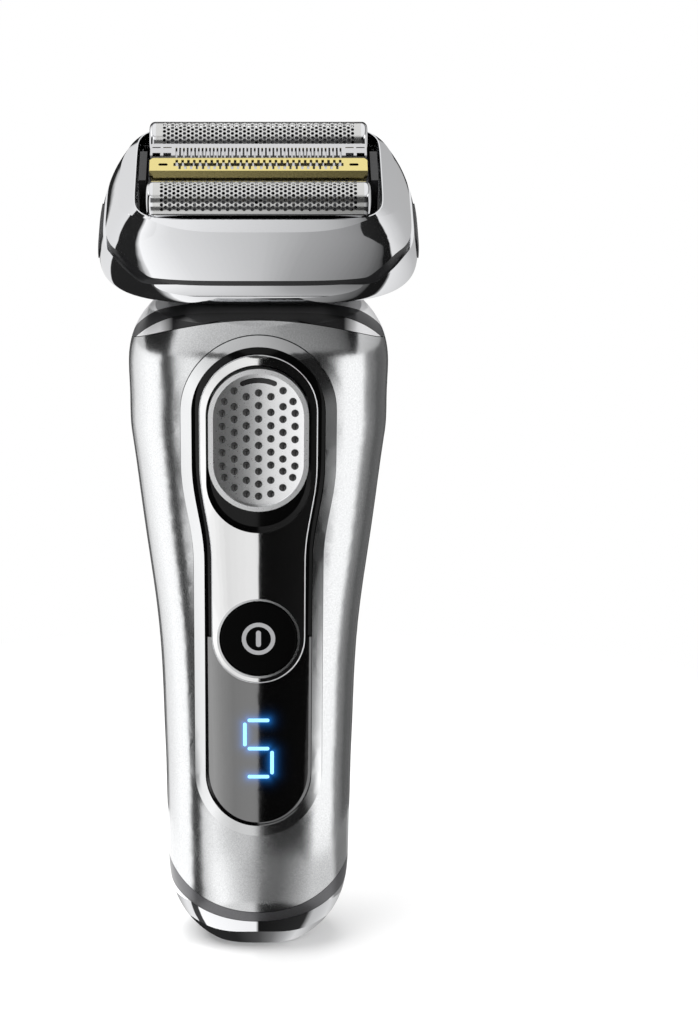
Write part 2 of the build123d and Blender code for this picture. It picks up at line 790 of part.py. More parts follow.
with BuildPart() as display_window:
    extrude(bezel_outline(-BEZEL_WIDTH - PANEL_GAP), amount=FAR)
    extrude(strip_outline(PANEL_GAP), amount=FAR, mode=Mode.SUBTRACT)
    split(bisect_by=Plane.XY.offset(BUTTON_HEIGHT - PANEL_GAP), keep=Keep.BOTTOM)
    add(handle_form(-WINDOW_RECESS), mode=Mode.INTERSECT)
    add(INNER_FORM, mode=Mode.SUBTRACT)
save(display_window, "display_window")

with BuildPart() as button_ring:
    extrude(circles(BUTTON_PLANE.offset(BUTTON_PROUD), RING_OUTER_RADIUS), amount=-CHASSIS_FRONT)
    extrude(
        circles(BUTTON_PLANE.offset(BUTTON_PROUD), RING_OUTER_RADIUS - BUTTON_RING_WIDTH),
        amount=-CHASSIS_FRONT,
        mode=Mode.SUBTRACT,
    )
    add(INNER_FORM, mode=Mode.SUBTRACT)
save(button_ring, "button_ring")

BUTTON_BACK_PLANE = BUTTON_PLANE.offset(-BUTTON_BASE_DEPTH)
PLUNGER_LENGTH = WALL + PANEL_PLATE + BUTTON_TRAVEL - BUTTON_BASE_DEPTH

with BuildPart() as power_button:
    extrude(circles(BUTTON_BACK_PLANE, BUTTON_RADIUS), amount=BUTTON_BASE_DEPTH + BUTTON_PROUD)
    fillet(power_button.edges().filter_by(GeomType.CIRCLE).sort_by(Axis.Y)[0], BUTTON_EDGE)
    extrude(circles(BUTTON_BACK_PLANE, PLUNGER_RADIUS), amount=-PLUNGER_LENGTH)
save(power_button, "power_button")

# Head lock slider

SLIDER_BASE = -WALL + SLIDER_LIFT
DISH_PLANE = Plane(
    origin=SLIDER_PLANE.origin
    + SLIDER_PLANE.z_dir * (SLIDER_PROUD + SLIDER_DISH_RADIUS - SLIDER_DISH_DEPTH),
    x_dir=SLIDER_PLANE.x_dir,
    z_dir=SLIDER_PLANE.y_dir,
)


def slider_outline(level, inset):
    """The slider's rounded outline at a level, drawn in by a distance."""
    return slot(
        SLIDER_PLANE.offset(level),
        2 * (SLIDER_HALF_HEIGHT - inset),
        2 * (SLIDER_HALF_WIDTH - inset),
    )


with BuildPart() as pad_hollow:
    extrude(slider_outline(SLIDER_BASE, SLIDER_RIM), amount=FAR)
    extrude(circles(DISH_PLANE, SLIDER_DISH_RADIUS), amount=FAR, both=True, mode=Mode.INTERSECT)

with BuildPart() as lock_slider:
    extrude(slider_outline(SLIDER_BASE, 0), amount=SLIDER_PROUD - SLIDER_BASE)
    add(pad_hollow.part, mode=Mode.SUBTRACT)
save(lock_slider, "lock_slider")


def nub_points():
    """Places of the nubs: a middle column and pairs of columns beside it."""
    points = []
    for column, count in enumerate(NUB_COLUMNS):
        for row in range(count):
            height = (row - (count - 1) / 2) * NUB_ROW_PITCH
            sides = (-1, 1) if column else (1,)
            points.extend((side * column * NUB_COLUMN_PITCH, height) for side in sides)
    return points


with BuildPart() as lock_nubs:
    extrude(circles(SLIDER_PLANE.offset(SLIDER_BASE), NUB_RADIUS, nub_points()), amount=FAR / 2)
    extrude(circles(DISH_PLANE, SLIDER_DISH_RADIUS), amount=FAR, both=True, mode=Mode.INTERSECT)
    extrude(
        circles(DISH_PLANE, SLIDER_DISH_RADIUS - NUB_HEIGHT),
        amount=FAR,
        both=True,
        mode=Mode.SUBTRACT,
    )
save(lock_nubs, "lock_nubs")

CARRIAGE_TOP = -WALL - PANEL_PLATE - SLIDER_LIFT

with BuildPart() as lock_carriage:
    extrude(
        rectangle(SLIDER_PLANE.offset(SLIDER_BASE), 2 * STEM_HALF_WIDTH, 2 * STEM_HALF_LENGTH),
        amount=CARRIAGE_TOP - SLIDER_BASE,
    )
    extrude(
        rectangle(
            SLIDER_PLANE.offset(CARRIAGE_TOP), 2 * CARRIAGE_HALF_WIDTH, 2 * CARRIAGE_HALF_LENGTH
        ),
        amount=-CARRIAGE_THICKNESS,
    )
    extrude(
        rectangle(
            SLIDER_PLANE.offset(CARRIAGE_TOP), LOCK_ROD_WIDTH, LOCK_ROD_REACH, (0, LOCK_ROD_REACH / 2)
        ),
        amount=-CARRIAGE_THICKNESS,
    )
save(lock_carriage, "lock_carriage")

# Inside the handle

BATTERY_CENTRE = BATTERY_RADIUS + BATTERY_GAP - CHASSIS_BACK
SADDLE_HEIGHTS = (BATTERY_BOTTOM + SADDLE_INSET, BATTERY_BOTTOM + BATTERY_LENGTH - SADDLE_INSET)
STANDOFF_POINTS = [
    (side * (BOARD_HALF_WIDTH - STANDOFF_RADIUS), height)
    for side in (-1, 1)
    for height in (BOARD_BOTTOM + STANDOFF_RADIUS, BOARD_TOP - STANDOFF_RADIUS)
]

with BuildPart() as chassis:
    with BuildSketch(CHASSIS_PLANE):
        with Locations((0, (CHASSIS_BOTTOM + CHASSIS_TOP) / 2)):
            RectangleRounded(
                2 * CHASSIS_HALF_WIDTH, CHASSIS_TOP - CHASSIS_BOTTOM, CHASSIS_SCREW_INSET
            )
    extrude(amount=-CHASSIS_THICKNESS)
    extrude(circles(CHASSIS_PLANE, STANDOFF_RADIUS, STANDOFF_POINTS), amount=STANDOFF)
    for height in SADDLE_HEIGHTS:
        extrude(
            rectangle(
                Plane.XY.offset(height - SADDLE_THICKNESS / 2),
                2 * (BATTERY_RADIUS + WALL),
                BATTERY_CENTRE + CHASSIS_BACK,
                (0, (BATTERY_CENTRE - CHASSIS_BACK) / 2),
            ),
            amount=SADDLE_THICKNESS,
        )
    extrude(
        circles(Plane.XY, BATTERY_RADIUS, [(0, BATTERY_CENTRE)]), amount=FAR * 2, mode=Mode.SUBTRACT
    )
    extrude(
        circles(CHASSIS_PLANE, SCREW_RADIUS, CHASSIS_SCREW_POINTS),
        amount=-CHASSIS_THICKNESS,
        mode=Mode.SUBTRACT,
    )
save(chassis, "chassis")

with BuildPart() as chassis_screws:
    extrude(
        circles(CHASSIS_PLANE, SCREW_HEAD_RADIUS, CHASSIS_SCREW_POINTS), amount=SCREW_HEAD_HEIGHT
    )
    extrude(
        circles(CHASSIS_PLANE, SCREW_RADIUS, CHASSIS_SCREW_POINTS),
        amount=-(SCREW_LENGTH + CHASSIS_THICKNESS),
    )
save(chassis_screws, "chassis_screws")

with BuildPart() as battery_cell:
    extrude(
        circles(Plane.XY.offset(BATTERY_BOTTOM), BATTERY_RADIUS, [(0, BATTERY_CENTRE)]),
        amount=BATTERY_LENGTH,
    )
save(battery_cell, "battery_cell")

with BuildPart() as circuit_board:
    extrude(
        rectangle(
            BOARD_PLANE,
            2 * BOARD_HALF_WIDTH,
            BOARD_TOP - BOARD_BOTTOM,
            (0, (BOARD_BOTTOM + BOARD_TOP) / 2),
        ),
        amount=-BOARD_THICKNESS,
    )
save(circuit_board, "circuit_board")

PLUNGER_TIP = front_depth(BUTTON_HEIGHT) - BUTTON_BASE_DEPTH - PLUNGER_LENGTH

with BuildPart() as push_switch:
    extrude(
        rectangle(BOARD_PLANE, SWITCH_SIDE, SWITCH_SIDE, (0, BUTTON_HEIGHT)),
        amount=PLUNGER_TIP - BOARD_FRONT - BUTTON_TRAVEL - BUTTON_GAP,
    )
save(push_switch, "push_switch")

with BuildPart() as display_module:
    extrude(
        rectangle(
            BOARD_PLANE, 2 * DISPLAY_HALF_WIDTH, 2 * DISPLAY_HALF_HEIGHT, (0, DISPLAY_HEIGHT)
        ),
        amount=FAR,
    )
    add(handle_form(-WALL - PANEL_GAP), mode=Mode.INTERSECT)
save(display_module, "display_module")

# Rear pop-up trimmer

TRIMMER_COMB_TOP = TRIMMER_COVER_TOP + TRIMMER_TOOTH_LENGTH
TRIMMER_BLOCK_TOP = TRIMMER_BOTTOM + TRIMMER_BLOCK_LENGTH
TRIMMER_BACK_Y = TRIMMER_COVER_Y + TRIMMER_COVER

with BuildPart() as trimmer_slide:
    with BuildSketch(Plane.YZ):
        with Locations(
            (
                TRIMMER_BACK_Y + TRIMMER_THUMB_PROUD - TRIMMER_THUMB_RADIUS,
                TRIMMER_BOTTOM + TRIMMER_BLOCK_LENGTH / 2,
            )
        ):
            Circle(TRIMMER_THUMB_RADIUS)
    extrude(amount=TRIMMER_THUMB_HALF_WIDTH, both=True)
    back_box(FAR, 0, CROWN_HEIGHT, -FAR, TRIMMER_COVER_Y, mode=Mode.SUBTRACT)
    back_box(
        TRIMMER_HALF_WIDTH, TRIMMER_BOTTOM, TRIMMER_COVER_TOP, TRIMMER_COVER_Y, TRIMMER_BACK_Y
    )
    back_box(
        TRIMMER_HALF_WIDTH, TRIMMER_BOTTOM, TRIMMER_BLOCK_TOP, TRIMMER_COMB_Y, TRIMMER_COVER_Y
    )
save(trimmer_slide, "trimmer_slide")


def toothed_plate(half_width, near, top):
    """A thin plate behind the slide's block, with its top edge cut into teeth."""
    back_box(half_width, TRIMMER_BLOCK_TOP + TRIMMER_PLATE_GAP, top, near, near + TRIMMER_PLATE)
    count = int(2 * half_width / TRIMMER_TOOTH_PITCH) - 1
    with BuildSketch(Plane.XZ.offset(-near)) as gaps:
        with Locations((0, top)):
            with GridLocations(TRIMMER_TOOTH_PITCH, 1, count, 1):
                Rectangle(TRIMMER_TOOTH_PITCH - TRIMMER_TOOTH_WIDTH, 2 * TRIMMER_TOOTH_LENGTH)
    extrude(gaps.sketch, amount=-TRIMMER_PLATE, mode=Mode.SUBTRACT)


with BuildPart() as trimmer_comb:
    toothed_plate(TRIMMER_HALF_WIDTH, TRIMMER_COMB_Y, TRIMMER_COMB_TOP)
save(trimmer_comb, "trimmer_comb")

with BuildPart() as trimmer_cutter:
    toothed_plate(
        TRIMMER_HALF_WIDTH - TRIMMER_CUTTER_SWING - TRIMMER_PLATE_GAP,
        TRIMMER_CUTTER_Y,
        TRIMMER_COMB_TOP - TRIMMER_PLATE,
    )
save(trimmer_cutter, "trimmer_cutter")

# Head frame of reference

TILT = radians(HEAD_TILT)
HEAD_UP = Vector(0, -sin(TILT), cos(TILT))
HEAD_BACK = Vector(0, cos(TILT), sin(TILT))
PIVOT_HEIGHT = COLLAR_TOP + PIVOT_ABOVE_COLLAR
HEAD_ORIGIN = Vector(0, PIVOT_BACK, PIVOT_HEIGHT) + HEAD_UP * PIVOT_BELOW_FOILS
HEAD = Plane(origin=HEAD_ORIGIN, x_dir=(1, 0, 0), z_dir=HEAD_UP)
HEAD_SIDE = Plane(origin=HEAD_ORIGIN, x_dir=HEAD_BACK, z_dir=(1, 0, 0))


def head_front(distance):
    """A plane seen from the head's front, at a distance behind its axis."""
    return Plane(origin=HEAD_ORIGIN + HEAD_BACK * distance, x_dir=(1, 0, 0), z_dir=-HEAD_BACK)


# Yoke and pivot

ARM_OUTER = ARM_INNER + ARM_THICKNESS
PIVOT_POINT = (PIVOT_BACK, PIVOT_HEIGHT)


def collar_height(distance):
    """Height of the slanted collar top at a distance behind the handle's axis."""
    return COLLAR_TOP + distance * tan(radians(COLLAR_SLANT))


def arm_outline(plane):
    """A yoke arm seen from its side: a wide foot on the collar and a round eye."""
    with BuildSketch(plane) as outline:
        with BuildLine():
            Polyline(
                (-YOKE_FRONT, collar_height(-YOKE_FRONT)),
                (YOKE_BACK, collar_height(YOKE_BACK)),
                (PIVOT_BACK + ARM_RADIUS, PIVOT_HEIGHT),
                (PIVOT_BACK - ARM_RADIUS, PIVOT_HEIGHT),
                close=True,
            )
        make_face()
        with Locations(PIVOT_POINT):
            Circle(ARM_RADIUS)
            Circle(PIN_RADIUS, mode=Mode.SUBTRACT)
    return outline.sketch


with BuildPart() as head_yoke:
    extrude(
        rectangle(
            COLLAR_PLANE,
            2 * ARM_OUTER,
            (YOKE_BACK + YOKE_FRONT) / cos(radians(COLLAR_SLANT)),
            (0, (YOKE_BACK - YOKE_FRONT) / 2 / cos(radians(COLLAR_SLANT))),
        ),
        amount=YOKE_PLATE,
    )
    extrude(arm_outline(Plane.YZ.offset(ARM_INNER)), amount=ARM_THICKNESS)
    extrude(arm_outline(Plane.YZ.offset(-ARM_INNER)), amount=-ARM_THICKNESS)
    extrude(
        circles(COLLAR_PLANE, SCREW_RADIUS, YOKE_SCREW_POINTS), amount=YOKE_PLATE, mode=Mode.SUBTRACT
    )
save(head_yoke, "head_yoke")

with BuildPart() as yoke_screws:
    extrude(
        circles(COLLAR_PLANE.offset(YOKE_PLATE), SCREW_HEAD_RADIUS, YOKE_SCREW_POINTS),
        amount=SCREW_HEAD_HEIGHT,
    )
    extrude(
        circles(COLLAR_PLANE.offset(YOKE_PLATE), SCREW_RADIUS, YOKE_SCREW_POINTS),
        amount=-(YOKE_PLATE + SCREW_LENGTH),
    )
save(yoke_screws, "yoke_screws")

EAR_INNER = ARM_OUTER + ARM_SIDE_GAP
PIN_END = EAR_INNER + EAR_THICKNESS

with BuildPart() as pivot_pins:
    for side in (-1, 1):
        extrude(
            circles(Plane.YZ.offset(side * ARM_INNER), PIN_RADIUS, [PIVOT_POINT]),
            amount=side * (PIN_END - ARM_INNER),
        )
save(pivot_pins, "pivot_pins")

# Head shells

HEAD_STATIONS = (
    (BASE_LOW_LEVEL, BASE_LOW_HALF_WIDTH, BASE_LOW_HALF_DEPTH, BASE_LOW_POWER),
    (BASE_TURN_LEVEL, BASE_TURN_HALF_WIDTH, BASE_TURN_HALF_DEPTH, BASE_TURN_POWER),
    (BASE_WIDE_LEVEL, BASE_WIDE_HALF_WIDTH, BASE_WIDE_HALF_DEPTH, BASE_WIDE_POWER),
    (FRAME_MID_LEVEL, FRAME_MID_HALF_WIDTH, FRAME_MID_HALF_DEPTH, FRAME_MID_POWER),
    (FRAME_TOP_LEVEL, FRAME_TOP_HALF_WIDTH, FRAME_TOP_HALF_DEPTH, FRAME_TOP_POWER),
)
BAY_HALF_WIDTH = RIM_HALF_WIDTH - RIM_LAND
BAY_HALF_DEPTH = RIM_HALF_DEPTH - RIM_LAND


def head_section(level, half_width, half_depth, power):
    """A rounded section of the head at a level."""
    return oval(HEAD.offset(level), half_width, half_depth, half_depth, power, HEAD_POINTS)


def head_form(growth):
    """The whole head below its rim as one body, grown by a distance."""
    levels = [
        BASE_LOW_LEVEL + (FRAME_TOP_LEVEL - BASE_LOW_LEVEL) * step / HEAD_SPANS
        for step in range(HEAD_SPANS + 1)
    ]
    sections = []
    for level in levels:
        half_width, half_depth, power = sizes_at(HEAD_STATIONS, level)
        sections.append(head_section(level, half_width + growth, half_depth + growth, power))
    with BuildPart() as form:
        loft(sections)
    return form.part


def above_edge(level, lag):
    """What lies above an edge of the head that is level in front and climbs to the sides."""
    turn = BAND_TURN + lag
    high = level + BAND_RISE
    with BuildSketch(head_front(0)) as outline:
        with BuildLine():
            FilletPolyline(
                (-FAR, high),
                (-turn - BAND_CLIMB, high),
                (-turn, level),
                (turn, level),
                (turn + BAND_CLIMB, high),
                (FAR, high),
                radius=BAND_TURN_ROUNDING,
            )
            Polyline((FAR, high), (FAR, FAR), (-FAR, FAR), (-FAR, high))
        make_face()
    return outline.sketch


def release_outline(growth=0.0):
    """A release button on the head's side, grown by a distance."""
    return slot(
        HEAD_SIDE,
        2 * (RELEASE_HALF_LENGTH + growth),
        2 * (RELEASE_HALF_HEIGHT + growth),
        (0, RELEASE_LEVEL),
        turn=0,
    )


def between_levels(low, high):
    """Keep what lies between two levels of the head."""
    split(bisect_by=HEAD.offset(low), keep=Keep.TOP)
    split(bisect_by=HEAD.offset(high), keep=Keep.BOTTOM)


HEAD_FORM = head_form(0)
HEAD_INNER = head_form(-HEAD_WALL)
FRAME_ABOVE = above_edge(FRAME_LOW_LEVEL, 0)
BAND_ABOVE = above_edge(BAND_LOW_LEVEL, BAND_TURN_LAG)
RELEASE_BACK_FORM = head_form(-RELEASE_THICKNESS)

with BuildPart() as release_openings:
    extrude(release_outline(RELEASE_GAP), amount=FAR, both=True)
    extrude(
        rectangle(HEAD, 2 * RELEASE_INNER_HALF, FAR), amount=FAR, both=True, mode=Mode.SUBTRACT
    )
RELEASE_OPENINGS = release_openings.part

DECK_SCREW_POINTS = [
    (side * DECK_SCREW_X, depth * DECK_SCREW_DEPTH) for side in (-1, 1) for depth in (-1, 1)
]

with BuildPart() as frame_hollow:
    add(HEAD_INNER)
    split(bisect_by=HEAD.offset(DECK_LEVEL), keep=Keep.BOTTOM)

with BuildPart() as rim_bevel:
    loft(
        [
            head_section(
                BASE_LOW_LEVEL,
                RIM_HALF_WIDTH - BASE_LOW_LEVEL * RIM_SIDE_SLOPE,
                RIM_HALF_DEPTH - BASE_LOW_LEVEL * RIM_FRONT_SLOPE,
                RIM_POWER,
            ),
            head_section(0, RIM_HALF_WIDTH, RIM_HALF_DEPTH, RIM_POWER),
        ],
        ruled=True,
    )

with BuildPart() as head_frame:
    add(HEAD_FORM)
    extrude(FRAME_ABOVE, amount=FAR, both=True, mode=Mode.INTERSECT)
    add(rim_bevel.part, mode=Mode.INTERSECT)
    extrude(
        head_section(DECK_LEVEL, BAY_HALF_WIDTH, BAY_HALF_DEPTH, RIM_POWER),
        amount=FAR,
        mode=Mode.SUBTRACT,
    )
    add(frame_hollow.part, mode=Mode.SUBTRACT)
    extrude(
        circles(HEAD.offset(DECK_LEVEL), DECK_SCREW_RADIUS, DECK_SCREW_POINTS),
        amount=DECK_SCREW_GRIP,
        mode=Mode.SUBTRACT,
    )
save(head_frame, "head_frame")

with BuildPart() as head_band:
    add(head_form(-BAND_RECESS))
    extrude(BAND_ABOVE, amount=FAR, both=True, mode=Mode.INTERSECT)
    extrude(FRAME_ABOVE, amount=FAR, both=True, mode=Mode.SUBTRACT)
    add(HEAD_INNER, mode=Mode.SUBTRACT)
save(head_band, "head_band")

ARM_SLOT_HALF = ARM_THICKNESS / 2 + ARM_SIDE_GAP
ARM_MIDDLE = ARM_INNER + ARM_THICKNESS / 2
PIVOT_LEVEL = -PIVOT_BELOW_FOILS


def arm_reach(foot, eye, tilt):
    """Where an arm's edge crosses the underside of the head tilted by an angle."""
    turn = radians(tilt)
    places = []
    for y, z in ((eye, 0.0), (foot - PIVOT_BACK, collar_height(foot) - PIVOT_HEIGHT)):
        places.append((y * cos(turn) + z * sin(turn), z * cos(turn) - y * sin(turn)))
    (eye_back, eye_level), (foot_back, foot_level) = places
    share = (BASE_LOW_LEVEL - PIVOT_LEVEL - eye_level) / (foot_level - eye_level)
    return eye_back + share * (foot_back - eye_back)


ARM_SLOT_FRONT = ARM_SIDE_GAP - arm_reach(-YOKE_FRONT, -ARM_RADIUS, HEAD_TILT + HEAD_TILT_FORWARD)
ARM_SLOT_BACK = ARM_SIDE_GAP + arm_reach(YOKE_BACK, ARM_RADIUS, HEAD_TILT - HEAD_TILT_BACKWARD)

with BuildPart() as base_hollow:
    add(HEAD_INNER)
    split(bisect_by=HEAD.offset(BASE_LOW_LEVEL + HEAD_WALL), keep=Keep.TOP)

with BuildPart() as scoop:
    with BuildSketch(HEAD_SIDE):
        with Locations((SCOOP_DEPTH - BASE_WIDE_HALF_DEPTH - SCOOP_RADIUS, BAND_LOW_LEVEL)):
            Circle(SCOOP_RADIUS)
    extrude(amount=SCOOP_HALF_LENGTH, both=True)

with BuildPart() as head_base:
    add(HEAD_FORM)
    extrude(BAND_ABOVE, amount=FAR, both=True, mode=Mode.SUBTRACT)
    add(base_hollow.part, mode=Mode.SUBTRACT)
    add(scoop.part, mode=Mode.SUBTRACT)
    add(RELEASE_OPENINGS, mode=Mode.SUBTRACT)
    for side in (-1, 1):
        ear_plane = HEAD_SIDE.offset(side * EAR_INNER)
        extrude(circles(ear_plane, EAR_RADIUS, [(0, PIVOT_LEVEL)]), amount=side * EAR_THICKNESS)
        extrude(
            rectangle(
                ear_plane,
                2 * EAR_RADIUS,
                PIVOT_LEVEL - BASE_LOW_LEVEL - HEAD_WALL / 2,
                (0, (PIVOT_LEVEL + BASE_LOW_LEVEL + HEAD_WALL / 2) / 2),
            ),
            amount=side * EAR_THICKNESS,
        )
        extrude(
            circles(ear_plane, PIN_RADIUS + PIN_RUNNING_CLEARANCE, [(0, PIVOT_LEVEL)]),
            amount=side * EAR_THICKNESS,
            mode=Mode.SUBTRACT,
        )
        extrude(
            rectangle(
                HEAD.offset(PIVOT_LEVEL),
                2 * ARM_SLOT_HALF,
                ARM_SLOT_FRONT + ARM_SLOT_BACK,
                (side * ARM_MIDDLE, (ARM_SLOT_BACK - ARM_SLOT_FRONT) / 2),
            ),
            amount=-FAR,
            mode=Mode.SUBTRACT,
        )
save(head_base, "head_base")

for side, name in ((-1, "release_button_left"), (1, "release_button_right")):
    with BuildPart() as release_button:
        extrude(release_outline(), amount=FAR, both=True)
        add(head_form(RELEASE_PROUD), mode=Mode.INTERSECT)
        add(RELEASE_BACK_FORM, mode=Mode.SUBTRACT)
        split(bisect_by=Plane.YZ, keep=Keep.TOP if side > 0 else Keep.BOTTOM)
    save(release_button, name)

# Drive inside the head

HALF_SPACING = FOIL_SPACING / 2
FOIL_PIN_POINTS = [(0, -HALF_SPACING), (0, HALF_SPACING)]
TRIMMER_PIN_POINTS = [(0, -GUARD_CENTRE), (0, GUARD_CENTRE)]
STATOR_BOTTOM = BASE_LOW_LEVEL + HEAD_WALL
STATOR_TOP = STATOR_BOTTOM + STATOR_HEIGHT
FOIL_BRIDGE_BOTTOM = STATOR_TOP + DRIVE_GAP
FOIL_BRIDGE_TOP = FOIL_BRIDGE_BOTTOM + BRIDGE_THICKNESS
TRIMMER_BRIDGE_BOTTOM = FOIL_BRIDGE_TOP + DRIVE_GAP
DECK_BOTTOM = DECK_LEVEL - DECK_THICKNESS


def coil_outline(level, growth):
    """The ring that the coil fills, grown by a distance on both sides."""
    with BuildSketch(HEAD.offset(level)) as outline:
        Rectangle(
            2 * (COIL_INNER_LENGTH + COIL_WIDTH + growth), 2 * (COIL_INNER_DEPTH + COIL_WIDTH + growth)
        )
        Rectangle(
            2 * (COIL_INNER_LENGTH - growth), 2 * (COIL_INNER_DEPTH - growth), mode=Mode.SUBTRACT
        )
    return outline.sketch


with BuildPart() as motor_core:
    extrude(
        rectangle(HEAD.offset(STATOR_BOTTOM), 2 * STATOR_HALF_LENGTH, 2 * STATOR_HALF_DEPTH),
        amount=STATOR_HEIGHT,
    )
    extrude(coil_outline(STATOR_TOP, COIL_GAP), amount=-COIL_HEIGHT, mode=Mode.SUBTRACT)
save(motor_core, "motor_core")

with BuildPart() as motor_coil:
    extrude(coil_outline(STATOR_TOP - COIL_HEIGHT, 0), amount=COIL_HEIGHT)
save(motor_coil, "motor_coil")


def drive_bridge(bottom, half_length, half_depth, pin_radius, pin_points):
    """A sliding plate with drive pins that stand up from it."""
    extrude(
        rectangle(HEAD.offset(bottom), 2 * half_length, 2 * half_depth), amount=BRIDGE_THICKNESS
    )
    extrude(
        circles(HEAD.offset(bottom), pin_radius, pin_points), amount=DRIVE_PIN_TOP - bottom
    )


with BuildPart() as foil_drive_bridge:
    drive_bridge(
        FOIL_BRIDGE_BOTTOM,
        FOIL_BRIDGE_HALF_LENGTH,
        HALF_SPACING + FOIL_BRIDGE_MARGIN,
        FOIL_PIN_RADIUS,
        FOIL_PIN_POINTS,
    )
save(foil_drive_bridge, "foil_drive_bridge")

with BuildPart() as trimmer_drive_bridge:
    drive_bridge(
        TRIMMER_BRIDGE_BOTTOM,
        TRIMMER_BRIDGE_HALF_LENGTH,
        GUARD_CENTRE + TRIMMER_BRIDGE_MARGIN,
        TRIMMER_PIN_RADIUS,
        TRIMMER_PIN_POINTS,
    )
save(trimmer_drive_bridge, "trimmer_drive_bridge")


def cut_pin_slots(bottom, thickness):
    """Cut room for the swinging drive pins through a plate."""
    for radius, points in (
        (FOIL_PIN_RADIUS, FOIL_PIN_POINTS),
        (TRIMMER_PIN_RADIUS, TRIMMER_PIN_POINTS),
    ):
        width = 2 * (radius + PIN_SLOT_GAP)
        for point in points:
            extrude(
                slot(HEAD.offset(bottom), width + 2 * DRIVE_SWING, width, point, turn=0),
                amount=thickness,
                mode=Mode.SUBTRACT,
            )


with BuildPart() as drive_deck:
    add(head_form(-HEAD_WALL - DECK_GAP))
    between_levels(DECK_BOTTOM, DECK_LEVEL)
    cut_pin_slots(DECK_BOTTOM, DECK_THICKNESS)
    extrude(
        circles(HEAD.offset(DECK_BOTTOM), DECK_SCREW_RADIUS, DECK_SCREW_POINTS),
        amount=DECK_THICKNESS,
        mode=Mode.SUBTRACT,
    )
save(drive_deck, "drive_deck")

with BuildPart() as deck_screws:
    extrude(
        circles(HEAD.offset(DECK_BOTTOM), DECK_SCREW_HEAD, DECK_SCREW_POINTS),
        amount=-SCREW_HEAD_HEIGHT,
    )
    extrude(
        circles(HEAD.offset(DECK_BOTTOM), DECK_SCREW_RADIUS, DECK_SCREW_POINTS),
        amount=DECK_THICKNESS + DECK_SCREW_GRIP,
    )
save(deck_screws, "deck_screws")

# Cassette

CASSETTE_BOTTOM = DECK_LEVEL + CASSETTE_GAP
CASSETTE_FLOOR_TOP = CASSETTE_BOTTOM + CASSETTE_FLOOR
CASSETTE_HALF_WIDTH = BAY_HALF_WIDTH - CASSETTE_GAP
CASSETTE_HALF_DEPTH = BAY_HALF_DEPTH - CASSETTE_GAP
GUARD_OUTER = GUARD_CENTRE + GUARD_HALF_WIDTH

with BuildPart() as cassette_frame:
    extrude(
        head_section(CASSETTE_BOTTOM, CASSETTE_HALF_WIDTH, CASSETTE_HALF_DEPTH, RIM_POWER),
        amount=CASSETTE_FLOOR,
    )
    cut_pin_slots(CASSETTE_BOTTOM, CASSETTE_FLOOR)
    for side in (-1, 1):
        extrude(
            rectangle(
                HEAD.offset(CASSETTE_BOTTOM),
                CASSETTE_END_THICKNESS,
                2 * GUARD_OUTER,
                (side * (CASSETTE_HALF_WIDTH - CASSETTE_END_INSET - CASSETTE_END_THICKNESS / 2), 0),
            ),
            amount=CASSETTE_END_TOP - CASSETTE_BOTTOM,
        )
save(cassette_frame, "cassette_frame")

FOIL_INNER_RADIUS = FOIL_RADIUS - FOIL_SHEET
FOIL_FRAME_HALF_WIDTH = FOIL_RADIUS + FOIL_FRAME_WALL
FOIL_FRAME_HALF_LENGTH = FOIL_HALF_LENGTH + FOIL_END_CAP
CUTTER_RADIUS = FOIL_INNER_RADIUS - CUTTER_GAP


def arch_outline(centre, radius):
    """A half round with straight legs, seen from the head's side."""
    with BuildSketch(HEAD_SIDE) as outline:
        with BuildLine():
            ThreePointArc((centre - radius, 0), (centre, radius), (centre + radius, 0))
            Polyline(
                (centre + radius, 0),
                (centre + radius, FLOAT_BOTTOM),
                (centre - radius, FLOAT_BOTTOM),
                (centre - radius, 0),
            )
        make_face()
    return outline.sketch


def foil_frame_outline(centre):
    """The foil frame's rounded outline on the level of its bottom."""
    with BuildSketch(HEAD.offset(FLOAT_BOTTOM)) as outline:
        with Locations((0, centre)):
            RectangleRounded(
                2 * FOIL_FRAME_HALF_LENGTH, 2 * FOIL_FRAME_HALF_WIDTH, FOIL_FRAME_CORNER
            )
    return outline.sketch


